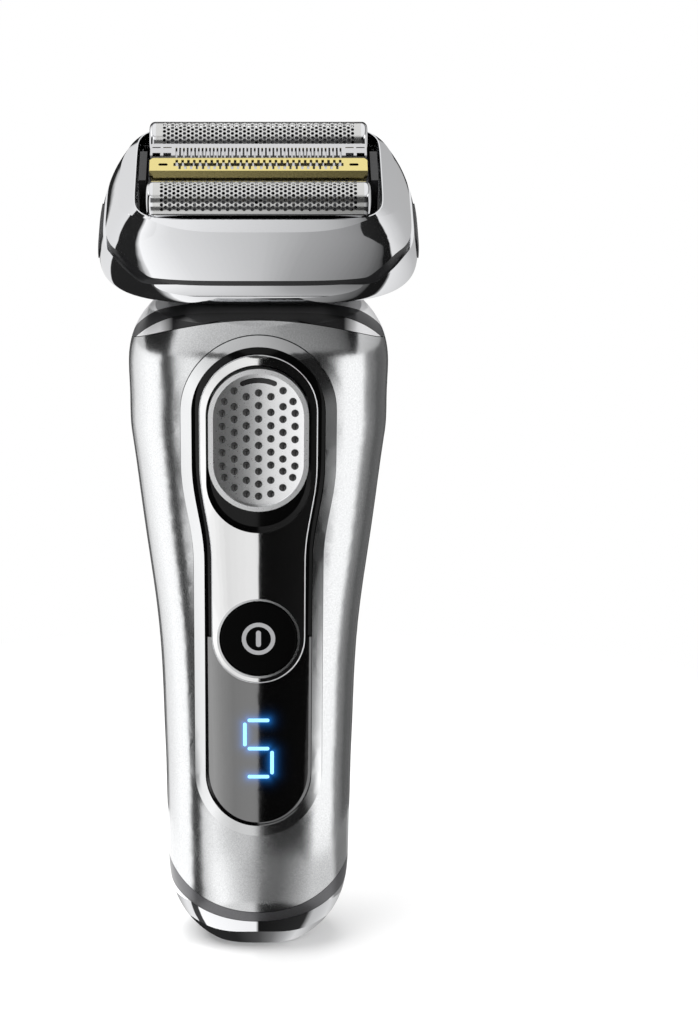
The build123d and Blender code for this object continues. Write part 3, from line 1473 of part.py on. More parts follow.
for name, centre in (("front", -HALF_SPACING), ("rear", HALF_SPACING)):
    with BuildPart() as foil:
        extrude(arch_outline(centre, FOIL_RADIUS), amount=FOIL_HALF_LENGTH, both=True)
        extrude(
            arch_outline(centre, FOIL_INNER_RADIUS),
            amount=FOIL_HALF_LENGTH,
            both=True,
            mode=Mode.SUBTRACT,
        )
    save(foil, f"{name}_foil")

    with BuildPart() as foil_ends:
        extrude(
            circles(HEAD_SIDE, FOIL_RADIUS, [(centre, 0)]), amount=FOIL_FRAME_HALF_LENGTH, both=True
        )
        fillet(foil_ends.edges().filter_by(GeomType.CIRCLE), FOIL_END_ROUNDING)
        split(bisect_by=HEAD, keep=Keep.TOP)

    with BuildPart() as foil_frame:
        extrude(foil_frame_outline(centre), amount=FOIL_FRAME_TOP - FLOAT_BOTTOM)
        add(foil_ends.part)
        extrude(
            arch_outline(centre, FOIL_RADIUS),
            amount=FOIL_HALF_LENGTH,
            both=True,
            mode=Mode.SUBTRACT,
        )
    save(foil_frame, f"{name}_foil_frame")

    with BuildPart() as foil_cutter:
        fin_count = int(2 * CUTTER_HALF_LENGTH / CUTTER_FIN_PITCH) + 1
        for fin in range(fin_count):
            across = (fin - (fin_count - 1) / 2) * CUTTER_FIN_PITCH
            extrude(
                circles(HEAD_SIDE.offset(across), CUTTER_RADIUS, [(centre, 0)]),
                amount=CUTTER_FIN / 2,
                both=True,
            )
        split(bisect_by=HEAD.offset(CUTTER_FIN_BOTTOM), keep=Keep.TOP)
        extrude(
            rectangle(
                HEAD.offset(CUTTER_BOTTOM),
                2 * CUTTER_HALF_LENGTH + CUTTER_FIN,
                2 * CUTTER_CARRIER_HALF_WIDTH,
                (0, centre),
            ),
            amount=CUTTER_CARRIER_TOP - CUTTER_BOTTOM,
        )
        extrude(
            circles(
                HEAD.offset(CUTTER_BOTTOM), FOIL_PIN_RADIUS + DRIVE_PIN_CLEARANCE, [(0, centre)]
            ),
            amount=PIN_SOCKET_TOP - CUTTER_BOTTOM,
            mode=Mode.SUBTRACT,
        )
    save(foil_cutter, f"{name}_cutter")


def guard_outline(centre, front_top, back_top, inset, bottom):
    """A trimmer guard's section with bevelled shoulders, drawn in by a distance."""
    half = GUARD_HALF_WIDTH - inset
    bevel = GUARD_CHAMFER
    with BuildSketch(HEAD_SIDE) as outline:
        with BuildLine():
            Polyline(
                (centre - half, bottom),
                (centre - half, front_top - bevel),
                (centre - GUARD_HALF_WIDTH + bevel, front_top - inset),
                (centre + GUARD_HALF_WIDTH - bevel, back_top - inset),
                (centre + half, back_top - bevel),
                (centre + half, bottom),
                close=True,
            )
        make_face()
    return outline.sketch


def cut_guard_slots(centre):
    """Cut the row of slots through the top of a trimmer."""
    count = int(GUARD_SLOT_SPAN / GUARD_SLOT_PITCH) + 1
    with BuildSketch(HEAD.offset(GUARD_SLOT_BOTTOM)) as slots:
        with Locations((0, centre)):
            with GridLocations(GUARD_SLOT_PITCH, 1, count, 1):
                Rectangle(GUARD_SLOT, 2 * GUARD_SLOT_HALF_DEPTH)
    extrude(slots.sketch, amount=FAR, mode=Mode.SUBTRACT)


for name, centre, front_top, back_top in (
    ("lift_trimmer", -GUARD_CENTRE, LIFT_FRONT_TOP, LIFT_BACK_TOP),
    ("comb_trimmer", GUARD_CENTRE, COMB_FRONT_TOP, COMB_BACK_TOP),
):
    with BuildPart() as guard:
        extrude(
            guard_outline(centre, front_top, back_top, 0, FLOAT_BOTTOM),
            amount=GUARD_HALF_LENGTH,
            both=True,
        )
        extrude(
            guard_outline(centre, front_top, back_top, GUARD_SHEET, FLOAT_BOTTOM),
            amount=GUARD_HALF_LENGTH,
            both=True,
            mode=Mode.SUBTRACT,
        )
        cut_guard_slots(centre)
    save(guard, f"{name}_guard")

    with BuildPart() as blade:
        extrude(
            guard_outline(centre, front_top, back_top, GUARD_SHEET + BLADE_GAP, BLADE_BOTTOM),
            amount=BLADE_HALF_LENGTH,
            both=True,
        )
        cut_guard_slots(centre)
        extrude(
            circles(
                HEAD.offset(BLADE_BOTTOM), TRIMMER_PIN_RADIUS + DRIVE_PIN_CLEARANCE, [(0, centre)]
            ),
            amount=PIN_SOCKET_TOP - BLADE_BOTTOM,
            mode=Mode.SUBTRACT,
        )
    save(blade, f"{name}_blade")


def spring_outline(plane, across):
    """A bent leaf that stands on the cassette floor and carries a floating element."""
    slope = (FLOAT_BOTTOM - CASSETTE_FLOOR_TOP) / SPRING_HALF_LENGTH
    foot = SPRING_SHEET / slope
    with BuildSketch(plane) as outline:
        with BuildLine():
            Polyline(
                (across - SPRING_HALF_LENGTH, CASSETTE_FLOOR_TOP),
                (across, FLOAT_BOTTOM),
                (across + SPRING_HALF_LENGTH, CASSETTE_FLOOR_TOP),
                (across + SPRING_HALF_LENGTH - foot, CASSETTE_FLOOR_TOP),
                (across, FLOAT_BOTTOM - SPRING_SHEET),
                (across - SPRING_HALF_LENGTH + foot, CASSETTE_FLOOR_TOP),
                close=True,
            )
        make_face()
    return outline.sketch


for name, centre, half_width in (
    ("front_foil_springs", -HALF_SPACING, FOIL_FRAME_HALF_WIDTH),
    ("lift_trimmer_springs", -GUARD_CENTRE, GUARD_HALF_WIDTH),
    ("comb_trimmer_springs", GUARD_CENTRE, GUARD_HALF_WIDTH),
    ("rear_foil_springs", HALF_SPACING, FOIL_FRAME_HALF_WIDTH),
):
    with BuildPart() as springs:
        for side in (-1, 1):
            extrude(
                spring_outline(head_front(centre), side * SPRING_X), amount=half_width, both=True
            )
    save(springs, name)
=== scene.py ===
# %% [markdown]
# # A foil shaver in the studio
# The solids of the shaver come in from a packed file and stay where they are. This lesson gives
# each of them its finish, models the fine pieces that a solid leaves out, and sets up a small
# photo studio around the whole.

# %% Load the solids
import math

import bpy
from mathutils import Matrix, Vector


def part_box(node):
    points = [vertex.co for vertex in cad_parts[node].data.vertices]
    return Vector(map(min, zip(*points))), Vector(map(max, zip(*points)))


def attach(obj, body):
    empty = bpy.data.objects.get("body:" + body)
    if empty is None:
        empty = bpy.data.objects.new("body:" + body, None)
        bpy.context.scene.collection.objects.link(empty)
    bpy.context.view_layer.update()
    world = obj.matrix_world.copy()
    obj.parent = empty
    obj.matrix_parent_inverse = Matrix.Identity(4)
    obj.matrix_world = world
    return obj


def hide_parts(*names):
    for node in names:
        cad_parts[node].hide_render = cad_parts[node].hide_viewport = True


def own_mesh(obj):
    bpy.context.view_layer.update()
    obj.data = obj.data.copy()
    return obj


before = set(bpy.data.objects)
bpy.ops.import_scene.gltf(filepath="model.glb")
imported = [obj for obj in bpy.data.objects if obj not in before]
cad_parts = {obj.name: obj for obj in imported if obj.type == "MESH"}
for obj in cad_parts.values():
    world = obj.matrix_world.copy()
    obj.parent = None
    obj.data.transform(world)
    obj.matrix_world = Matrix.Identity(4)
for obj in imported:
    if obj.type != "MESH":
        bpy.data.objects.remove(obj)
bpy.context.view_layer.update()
scene = bpy.context.scene
print("solids:", len(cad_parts))

# %% [markdown]
# ## Finishes
# A finish is a small node tree. A Principled shader carries the plain numbers, and a noise texture
# on Object coordinates breaks the roughness and the surface up a little, because no real lacquer
# or plating is perfectly even. The same helper makes every finish, so that they differ only where
# the real ones do.

# %% A helper for finishes
MM = 0.001


def finish(
    name, colour, metallic, roughness, grain_mm, grain_roughness, grain_height, speckle=0, **sockets
):
    """One finish: a Principled shader with a grain in its roughness, its surface and its colour."""
    material = bpy.data.materials.new(name)
    material.use_nodes = True
    nodes, links = material.node_tree.nodes, material.node_tree.links
    shader = nodes["Principled BSDF"]
    shader.inputs["Base Color"].default_value = (*colour, 1)
    shader.inputs["Metallic"].default_value = metallic
    for socket, value in sockets.items():
        shader.inputs[socket.replace("_", " ")].default_value = value
    place = nodes.new("ShaderNodeTexCoord")
    grain = nodes.new("ShaderNodeTexNoise")
    grain.inputs["Scale"].default_value = 1 / (grain_mm * MM)
    grain.inputs["Detail"].default_value = 3
    links.new(place.outputs["Object"], grain.inputs["Vector"])
    spread = nodes.new("ShaderNodeMapRange")
    spread.inputs["To Min"].default_value = max(roughness - grain_roughness, 0)
    spread.inputs["To Max"].default_value = roughness + grain_roughness
    links.new(grain.outputs["Fac"], spread.inputs["Value"])
    links.new(spread.outputs["Result"], shader.inputs["Roughness"])
    bump = nodes.new("ShaderNodeBump")
    bump.inputs["Strength"].default_value = 1.0
    bump.inputs["Distance"].default_value = grain_height * MM
    links.new(grain.outputs["Fac"], bump.inputs["Height"])
    links.new(bump.outputs["Normal"], shader.inputs["Normal"])
    if speckle:
        tone = nodes.new("ShaderNodeMix")
        tone.data_type = "RGBA"
        for socket, share in (("A", 1 - speckle), ("B", 1 + speckle)):
            tone.inputs[socket].default_value = [share * part for part in colour] + [1]
        links.new(grain.outputs["Fac"], tone.inputs["Factor"])
        links.new(tone.outputs["Result"], shader.inputs["Base Color"])
    return material


def number(material, operation, *values):
    """A Math node in a finish, fed with numbers or sockets."""
    node = material.node_tree.nodes.new("ShaderNodeMath")
    node.operation = operation
    for socket, value in zip(node.inputs, values):
        if isinstance(value, (int, float)):
            socket.default_value = value
        else:
            material.node_tree.links.new(value, socket)
    return node.outputs["Value"]


def place_of(material):
    """The three Object coordinates in a finish, by axis."""
    nodes, links = material.node_tree.nodes, material.node_tree.links
    apart = nodes.new("ShaderNodeSeparateXYZ")
    links.new(nodes.new("ShaderNodeTexCoord").outputs["Object"], apart.inputs["Vector"])
    return {axis: apart.outputs[axis] for axis in "XYZ"}


# %% Finishes of the shaver
# In order: name, colour, metallic share, roughness, size of the grain in mm, what it adds to the
# roughness, its height in mm, and its share in the colour
SATIN_SILVER = finish("satin_silver", (0.55, 0.555, 0.56), 1.0, 0.18, 0.25, 0.05, 0.0006, 0.22)
BEZEL_SILVER = finish("bezel_silver", (0.62, 0.625, 0.63), 1.0, 0.12, 0.3, 0.03, 0.0003)
POLISHED_CHROME = finish("polished_chrome", (0.78, 0.785, 0.80), 1.0, 0.05, 1.5, 0.015, 0.0002)
GRAPHITE = finish("graphite_lacquer", (0.13, 0.13, 0.135), 0.8, 0.34, 0.2, 0.08, 0.001, 0.3)
COLLAR_SILVER = finish("collar_silver", (0.80, 0.80, 0.81), 0.4, 0.40, 0.2, 0.06, 0.0008)
PIANO_BLACK = finish(
    "piano_black", (0.003, 0.003, 0.003), 0.0, 0.08, 2.0, 0.015, 0.0002, Specular_IOR_Level=0.2
)
BUTTON_BLACK = finish(
    "button_black", (0.001, 0.001, 0.001), 0.0, 0.25, 0.5, 0.05, 0.0004, Specular_IOR_Level=0.04
)
BLACK_MIRROR = finish("black_mirror", (0.80, 0.80, 0.80), 1.0, 0.04, 2.0, 0.01, 0.0002)
SMOKED_WINDOW = finish(
    "smoked_window", (0.001, 0.001, 0.001), 0.0, 0.06, 2.0, 0.02, 0.0002, IOR=2.6
)
DISH_METAL = finish("dish_metal", (0.84, 0.845, 0.85), 1.0, 0.28, 0.3, 0.02, 0.0001)
NUB_RUBBER = finish("nub_rubber", (0.012, 0.012, 0.012), 0.0, 0.20, 0.15, 0.05, 0.001)
SATIN_BLACK = finish("satin_black", (0.012, 0.012, 0.013), 0.0, 0.30, 0.3, 0.06, 0.001)
SOFT_GRIP = finish("soft_grip", (0.03, 0.03, 0.032), 0.0, 0.60, 0.25, 0.1, 0.006)
MOULDED_GREY = finish("moulded_grey", (0.30, 0.31, 0.32), 0.0, 0.45, 0.4, 0.08, 0.002)
MOULDED_WHITE = finish("moulded_white", (0.72, 0.72, 0.70), 0.0, 0.45, 0.4, 0.08, 0.002)
ZINC_STEEL = finish("zinc_steel", (0.55, 0.55, 0.56), 1.0, 0.30, 0.3, 0.06, 0.0006)
BLADE_STEEL = finish("blade_steel", (0.60, 0.60, 0.61), 1.0, 0.24, 0.2, 0.06, 0.0006)
FOIL_NICKEL = finish("foil_nickel", (0.66, 0.66, 0.65), 1.0, 0.16, 0.2, 0.05, 0.0004)
GOLD_NITRIDE = finish("gold_nitride", (0.83, 0.71, 0.30), 1.0, 0.18, 0.2, 0.05, 0.0004)
# Painted shade: the cutter steel is made near black so that the holes of the foils look shaded
SHADED_CUTTER_STEEL = finish("shaded_cutter_steel", (0.10, 0.10, 0.11), 1.0, 0.30, 0.2, 0.06, 0.0006)
COMB_SILVER = finish("comb_silver", (0.66, 0.66, 0.67), 1.0, 0.18, 0.2, 0.05, 0.0004)
PRINT_GREY = finish("print_grey", (0.36, 0.36, 0.37), 0.0, 0.5, 0.2, 0.05, 0.0004)
LIT_SEGMENT = finish(
    "lit_segment", (0.1, 0.3, 0.5), 0.0, 0.3, 0.5, 0.05, 0.0002,
    Emission_Color=(0.33, 0.76, 1.0, 1), Emission_Strength=1.2,
)
CONTACT_PLATING = finish("contact_plating", (0.80, 0.62, 0.30), 1.0, 0.22, 0.3, 0.05, 0.0004)
CELL_WRAP = finish("cell_wrap", (0.05, 0.14, 0.28), 0.0, 0.25, 1.0, 0.05, 0.001)
SOLDER_MASK = finish("solder_mask", (0.015, 0.13, 0.06), 0.0, 0.30, 0.6, 0.08, 0.001)
MOTOR_IRON = finish("motor_iron", (0.18, 0.18, 0.19), 0.8, 0.45, 0.3, 0.1, 0.002)
COIL_WIRE = finish("coil_wire", (0.55, 0.24, 0.10), 1.0, 0.35, 0.2, 0.1, 0.003)

FINISH_OF = {
    SATIN_SILVER: ("front_shell", "rear_shell"),
    BEZEL_SILVER: ("panel_bezel", "button_ring"),
    POLISHED_CHROME: (
        "head_frame", "head_base", "bottom_cap", "front_foil_frame", "rear_foil_frame",
    ),
    GRAPHITE: ("bottom_band",),
    COLLAR_SILVER: ("shoulder_collar",),
    PIANO_BLACK: ("control_panel", "display_module"),
    BUTTON_BLACK: ("power_button",),
    BLACK_MIRROR: ("control_strip",),
    SMOKED_WINDOW: ("display_window",),
    DISH_METAL: ("lock_slider",),
    NUB_RUBBER: ("lock_nubs",),
    SATIN_BLACK: (
        "head_band", "release_button_left", "release_button_right", "cassette_frame", "head_yoke",
        "power_inlet", "trimmer_slide", "push_switch",
    ),
    SOFT_GRIP: ("rear_grip",),
    MOULDED_GREY: ("chassis", "lock_carriage", "drive_deck"),
    MOULDED_WHITE: ("foil_drive_bridge", "trimmer_drive_bridge"),
    ZINC_STEEL: (
        "chassis_screws", "yoke_screws", "deck_screws", "pivot_pins", "front_foil_springs",
        "lift_trimmer_springs", "comb_trimmer_springs", "rear_foil_springs",
    ),
    BLADE_STEEL: ("trimmer_comb", "trimmer_cutter", "lift_trimmer_blade", "comb_trimmer_blade"),
    SHADED_CUTTER_STEEL: ("front_cutter", "rear_cutter"),
    FOIL_NICKEL: ("front_foil", "rear_foil", "comb_trimmer_guard"),
    GOLD_NITRIDE: ("lift_trimmer_guard",),
    CONTACT_PLATING: ("station_contacts", "inlet_pins"),
    CELL_WRAP: ("battery_cell",),
    SOLDER_MASK: ("circuit_board",),
    MOTOR_IRON: ("motor_core",),
    COIL_WIRE: ("motor_coil",),
}
for material, names in FINISH_OF.items():
    for name in names:
        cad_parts[name].data.materials.clear()
        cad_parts[name].data.materials.append(material)
print("finishes:", len(FINISH_OF), "on", sum(len(names) for names in FINISH_OF.values()), "solids")

# %% [markdown]
# ## Stripe and painted shade on the collar
# The collar under the head is silver with a dark stripe. A fine black line at the stripe's lower
# edge is a painted shadow. The stripe follows the shoulder: level in front and falling to the
# corners.
# Below it the collar is painted black in front, as painted shade, and fades to silver towards the
# corners. A height is worked out from the place on the collar, and comparing it with two limits
# gives the stripe.

# %% Dark stripe, painted shadow line and painted shade
STRIPE_LOW, STRIPE_HIGH = 127.7 * MM, 130.3 * MM
STRIPE_UP, STRIPE_BACK = 0.97, 0.242
CORNER_FALL, CORNER_REACH = 2 * MM, 20 * MM
# Half width of the painted shadow line at the stripe's lower edge
SHADOW_LINE_HALF_WIDTH = 0.08 * MM
# Where the painted shade in front fades out towards the corners, in mm
FADE_END, FADE_WIDTH = 19.2, 2.6
STRIPE_GREY = (0.05, 0.05, 0.053, 1)
# The black field is painted shade, and the black line is a painted shadow
PAINTED_SHADE_BLACK = (0.012, 0.012, 0.013, 1)
SHADOW_LINE_BLACK = (0.004, 0.004, 0.004, 1)


def collar(operation, *values):
    """A Math node in the collar's finish."""
    return number(COLLAR_SILVER, operation, *values)


apart = place_of(COLLAR_SILVER)
sideways = collar("ABSOLUTE", apart["X"])
level = collar("MULTIPLY", apart["Z"], STRIPE_UP)
level = collar("MULTIPLY_ADD", apart["Y"], STRIPE_BACK, level)
fall = collar("POWER", sideways, 4)
level = collar("MULTIPLY_ADD", fall, CORNER_FALL / CORNER_REACH ** 4, level)
below = collar("LESS_THAN", level, STRIPE_LOW)
stripe = collar("LESS_THAN", level, STRIPE_HIGH)
# Painted shade below the stripe: full in front, fading to nothing at the corners
front_shade = collar("MULTIPLY_ADD", sideways, -1 / (FADE_WIDTH * MM), FADE_END / FADE_WIDTH)
front_shade = collar("MINIMUM", collar("MAXIMUM", front_shade, 0), 1)
# The painted shadow line along the stripe's lower edge
shadow_line = collar("COMPARE", level, STRIPE_LOW, SHADOW_LINE_HALF_WIDTH)
shader = COLLAR_SILVER.node_tree.nodes["Principled BSDF"]
links = COLLAR_SILVER.node_tree.links
colour = shader.inputs["Base Color"].default_value[:]
for share, tone in (
    (collar("SUBTRACT", stripe, below), STRIPE_GREY),
    (collar("MULTIPLY", below, front_shade), PAINTED_SHADE_BLACK),
    (shadow_line, SHADOW_LINE_BLACK),
):
    blend = COLLAR_SILVER.node_tree.nodes.new("ShaderNodeMix")
    blend.data_type = "RGBA"
    if isinstance(colour, tuple):
        blend.inputs["A"].default_value = colour
    else:
        links.new(colour, blend.inputs["A"])
    blend.inputs["B"].default_value = tone
    links.new(share, blend.inputs["Factor"])
    colour = blend.outputs["Result"]
links.new(colour, shader.inputs["Base Color"])
print("stripe on the collar")

# %% [markdown]
# ## Helpers for modelling
# Operators work on what is selected, so one helper selects a single piece, one adds a modifier and
# applies it at once, one picks edges or faces of a piece by their place, and one joins pieces. A
# last helper gives a finished piece its name, its finish and the body that it rides on.

# %% Helpers for modelling
def make_active(piece):
    """Leave edit mode and select one piece alone."""
    if bpy.context.mode != "OBJECT":
        bpy.ops.object.mode_set(mode="OBJECT")
    bpy.ops.object.select_all(action="DESELECT")
    piece.select_set(True)
    bpy.context.view_layer.objects.active = piece


def apply_modifier(piece, kind, **settings):
    """Add a modifier with its settings and apply it."""
    make_active(piece)
    modifier = piece.modifiers.new(kind.lower(), kind)
    for setting, value in settings.items():
        setattr(modifier, setting, value)
    bpy.ops.object.modifier_apply(modifier=modifier.name)


def pick(piece, kind, test):
    """Go into edit mode with the edges or faces selected that pass a test on their corners."""
    make_active(piece)
    bpy.ops.object.mode_set(mode="EDIT")
    bpy.ops.mesh.select_mode(type=kind)
    bpy.ops.mesh.select_all(action="DESELECT")
    bpy.ops.object.mode_set(mode="OBJECT")
    mesh = piece.data
    for part in mesh.edges if kind == "EDGE" else mesh.polygons:
        part.select = test([mesh.vertices[corner].co / MM for corner in part.vertices])
    bpy.ops.object.mode_set(mode="EDIT")


def block(low, high):
    """A box between two corners in millimetres, with its place in its mesh."""
    bpy.ops.object.select_all(action="DESELECT")
    bpy.ops.mesh.primitive_cube_add(size=1)
    piece = bpy.context.object
    piece.scale = [(b - a) * MM for a, b in zip(low, high)]
    piece.location = [(a + b) / 2 * MM for a, b in zip(low, high)]
    bpy.ops.object.transform_apply()
    return piece


def cut(piece, cutter):
    """Take a cutter's shape out of a piece and throw the cutter away."""
    apply_modifier(piece, "BOOLEAN", operation="DIFFERENCE", object=cutter, solver="EXACT")
    bpy.data.objects.remove(cutter)


def join(pieces):
    """Join pieces into the first of them."""
    make_active(pieces[0])
    for piece in pieces:
        piece.select_set(True)
    bpy.ops.object.transform_apply()
    bpy.ops.object.join()
    return pieces[0]


def settle(piece, name, body, material, place=None, replaces=(), smooth=35):
    """Put a finished piece in its place and give it its name, finish and body."""
    make_active(piece)
    if place is not None:
        piece.matrix_world = place
        bpy.ops.object.transform_apply()
    bpy.ops.object.mode_set(mode="EDIT")
    bpy.ops.mesh.select_all(action="SELECT")
    bpy.ops.mesh.remove_doubles(threshold=0.015 * MM)
    bpy.ops.mesh.normals_make_consistent(inside=False)
    bpy.ops.object.mode_set(mode="OBJECT")
    bpy.ops.object.shade_smooth_by_angle(angle=math.radians(smooth))
    piece.name = piece.data.name = name
    piece.data.materials.clear()
    piece.data.materials.append(material)
    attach(piece, body)
    if replaces:
        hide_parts(*replaces)
    print(name, len(piece.data.polygons), "faces")
    return piece


# The head's own frame: x across, y to the back, z up out of the foils
HEAD_MIDDLE = (0, -7.75 * MM, 161.1215 * MM)
HEAD_LEAN = math.radians(30)
HEAD = Matrix.Translation(HEAD_MIDDLE) @ Matrix.Rotation(HEAD_LEAN, 4, "X")

# %% [markdown]
# ## Shaving foils
# A shaving foil is a sheet of nickel a tenth of a millimetre thick, full of six-sided holes and
# bent over a half round. One cell of the pattern is a hexagon with its middle taken out. Array
# modifiers lay the cells side by side and merge their edges into one sheet, so the holes are real
# and the cutter shows through them. The border is drawn out to straight lines, the sheet is rolled,
# and Solidify gives it its thickness.

# %% One cell laid out as a sheet
HOLE_PITCH = 0.9 * MM
COLUMN_PITCH = HOLE_PITCH * math.sqrt(3) / 2
BAR_HALF_WIDTH = 0.14 * MM


def rows_of(piece, count, step):
    """Lay copies of a piece side by side and merge them where they touch."""
    apply_modifier(
        piece, "ARRAY", count=count, use_relative_offset=False, use_constant_offset=True,
        constant_offset_displace=step, use_merge_vertices=True, merge_threshold=0.01 * MM,
    )


def perforated_sheet(columns, rows):
    """A flat sheet of hexagonal holes around the origin."""
    bpy.ops.object.select_all(action="DESELECT")
    bpy.ops.mesh.primitive_circle_add(
        vertices=6, radius=HOLE_PITCH / math.sqrt(3), fill_type="NGON",
        rotation=(0, 0, math.radians(30)),
    )
    sheet = bpy.context.object
    bpy.ops.object.transform_apply()
    bpy.ops.object.mode_set(mode="EDIT")
    bpy.ops.mesh.select_all(action="SELECT")
    bpy.ops.mesh.inset(thickness=BAR_HALF_WIDTH)
    bpy.ops.mesh.delete(type="FACE")
    bpy.ops.object.mode_set(mode="OBJECT")
    rows_of(sheet, 2, (COLUMN_PITCH, HOLE_PITCH / 2, 0))
    rows_of(sheet, columns // 2, (2 * COLUMN_PITCH, 0, 0))
    rows_of(sheet, rows, (0, HOLE_PITCH, 0))
    sheet.location = (-(columns - 1) / 2 * COLUMN_PITCH, -(rows - 0.5) / 2 * HOLE_PITCH, 0)
    bpy.ops.object.transform_apply()
    return sheet


# %% Straight borders around the holes
def border_edges(piece):
    """The edges of the longest open border of a sheet, as sets of corners."""
    faces_at = {}
    for face in piece.data.polygons:
        for key in face.edge_keys:
            faces_at[key] = faces_at.get(key, 0) + 1
    at_corner = {}
    for key, count in faces_at.items():
        if count == 1:
            for corner in key:
                at_corner.setdefault(corner, []).append(key)
    seen, longest = set(), set()
    for start in at_corner:
        queue, border = [start], set()
        while queue:
            corner = queue.pop()
            if corner not in seen:
                seen.add(corner)
                border.update(at_corner[corner])
                queue.extend(other for key in at_corner[corner] for other in key)
        longest = max(longest, border, key=len)
    return longest


def draw_out(piece, axis, side, from_line, to_line):
    """Extrude the border of a sheet on one side and flatten it onto a line."""
    border = border_edges(piece)
    pick(piece, "EDGE", lambda corners: False)
    bpy.ops.object.mode_set(mode="OBJECT")
    mesh = piece.data
    for edge in mesh.edges:
        if tuple(sorted(edge.vertices)) in border:
            first, second = (mesh.vertices[corner].co for corner in edge.vertices)
            along = abs(first[1 - axis] - second[1 - axis])
            edge.select = side * (first[axis] + second[axis]) / 2 > from_line and along > 1e-7
    bpy.ops.object.mode_set(mode="EDIT")
    bpy.ops.mesh.extrude_edges_move()
    scale, centre = [1, 1, 1], [0, 0, 0]
    scale[axis], centre[axis] = 0, side * to_line
    bpy.ops.transform.resize(value=scale, center_override=centre)
    bpy.ops.object.mode_set(mode="OBJECT")


# %% Two foils
FOIL_CENTRE = 9.75
FOIL_COLUMNS, FOIL_ROWS = 48, 12
FOIL_RADIUS = 4.15 * MM
FOIL_HALF_LENGTH = 20.0 * MM
FOIL_LEG = 3.4 * MM
FOIL_THICKNESS = 0.12 * MM
QUARTER = math.pi / 2 * FOIL_RADIUS


def shaving_foil(name, centre, body, node):
    """One perforated foil, rolled over a half round with straight legs."""
    sheet = perforated_sheet(FOIL_COLUMNS, FOIL_ROWS)
    last_column = (FOIL_COLUMNS - 1) / 2 * COLUMN_PITCH
    last_row = (FOIL_ROWS + 0.5) / 2 * HOLE_PITCH
    # Each step takes the border beyond one line and draws it out to the next
    for side in (-1, 1):
        draw_out(sheet, 0, side, last_column + 0.3 * MM, last_column + 0.63 * MM)
    for side in (-1, 1):
        draw_out(sheet, 1, side, last_row - 0.7 * MM, last_row + 0.12 * MM)
        draw_out(sheet, 1, side, last_row + 0.1 * MM, QUARTER)
        draw_out(sheet, 1, side, QUARTER - 0.1 * MM, QUARTER + FOIL_LEG)
    for side in (-1, 1):
        draw_out(sheet, 0, side, last_column + 0.6 * MM, FOIL_HALF_LENGTH)
    for corner in sheet.data.vertices:
        around = corner.co.y
        turn = max(-QUARTER, min(QUARTER, around)) / FOIL_RADIUS
        drop = max(abs(around) - QUARTER, 0)
        corner.co.y = centre * MM + FOIL_RADIUS * math.sin(turn)
        corner.co.z = FOIL_RADIUS * math.cos(turn) - drop
    apply_modifier(sheet, "SOLIDIFY", thickness=FOIL_THICKNESS, offset=-1)
    return settle(sheet, name, body, FOIL_NICKEL, HEAD, (node,))


shaving_foil("front_foil_sheet", -FOIL_CENTRE, "front_foil_unit", "front_foil")
shaving_foil("rear_foil_sheet", FOIL_CENTRE, "rear_foil_unit", "rear_foil")

# %% [markdown]
# ## Trimmer guards
# Between the foils float two slotted guards: a gold-coloured one that lifts flat hairs, and a
# bright comb. Both are folded from thin sheet, so each starts as a box whose top is tilted, whose
# edges are bevelled, whose underside is opened and whose wall comes from Solidify. Rows of small
# blocks, laid out with Array, then cut the teeth with a Boolean modifier.

# %% A folded guard
GUARD_CENTRE = 2.55
GUARD_HALF_LENGTH, GUARD_HALF_WIDTH = 20.9, 2.15
GUARD_BOTTOM, GUARD_TOP = 1.6, 3.9
GUARD_CHAMFER = 0.8
GUARD_SHEET = 0.3
CUT_LOW, CUT_HIGH = 1.75, 6.0
NEAR = 0.01


def top_edge(place, height):
    """A test for the edge at a place from front to back, at a height or above it."""
    return lambda ends: all(abs(c.y - place) < NEAR and c.z > height - NEAR for c in ends)


def folded_guard(centre, front_top, front_bevel, back_bevel, steps):
    """A thin folded guard with a tilted top, open below."""
    front, back = centre - GUARD_HALF_WIDTH, centre + GUARD_HALF_WIDTH
    guard = block((-GUARD_HALF_LENGTH, front, GUARD_BOTTOM), (GUARD_HALF_LENGTH, back, GUARD_TOP))
    pick(guard, "EDGE", top_edge(front, GUARD_TOP))
    bpy.ops.transform.translate(value=(0, 0, (front_top - GUARD_TOP) * MM))
    pick(guard, "EDGE", lambda ends: (ends[0] - ends[1]).xy.length < NEAR)
    bpy.ops.mesh.bevel(offset=GUARD_CHAMFER * MM, segments=1, affect="EDGES")
    pick(guard, "EDGE", top_edge(back, GUARD_TOP))
    bpy.ops.mesh.bevel(offset=back_bevel * MM, segments=steps, affect="EDGES")
    pick(guard, "EDGE", top_edge(front, front_top))
    bpy.ops.mesh.bevel(offset=front_bevel * MM, segments=1, affect="EDGES")
    pick(guard, "FACE", lambda ends: all(c.z < GUARD_BOTTOM + NEAR for c in ends))
    bpy.ops.mesh.delete(type="FACE")
    bpy.ops.object.mode_set(mode="OBJECT")
    apply_modifier(
        guard, "SOLIDIFY", thickness=GUARD_SHEET * MM, offset=-1, use_even_offset=True
    )
    return guard


def cutter_block(left, right, front, back):
    """A block that reaches through the top of a guard, for cutting."""
    return block((left, front, CUT_LOW), (right, back, CUT_HIGH))


def row_of_blocks(count, pitch, width, front, back):
    """A row of such blocks along the head, for cutting teeth."""
    first = -(count - 1) / 2 * pitch
    row = cutter_block(first - width / 2, first + width / 2, front, back)
    rows_of(row, count, (pitch * MM, 0, 0))
    return row


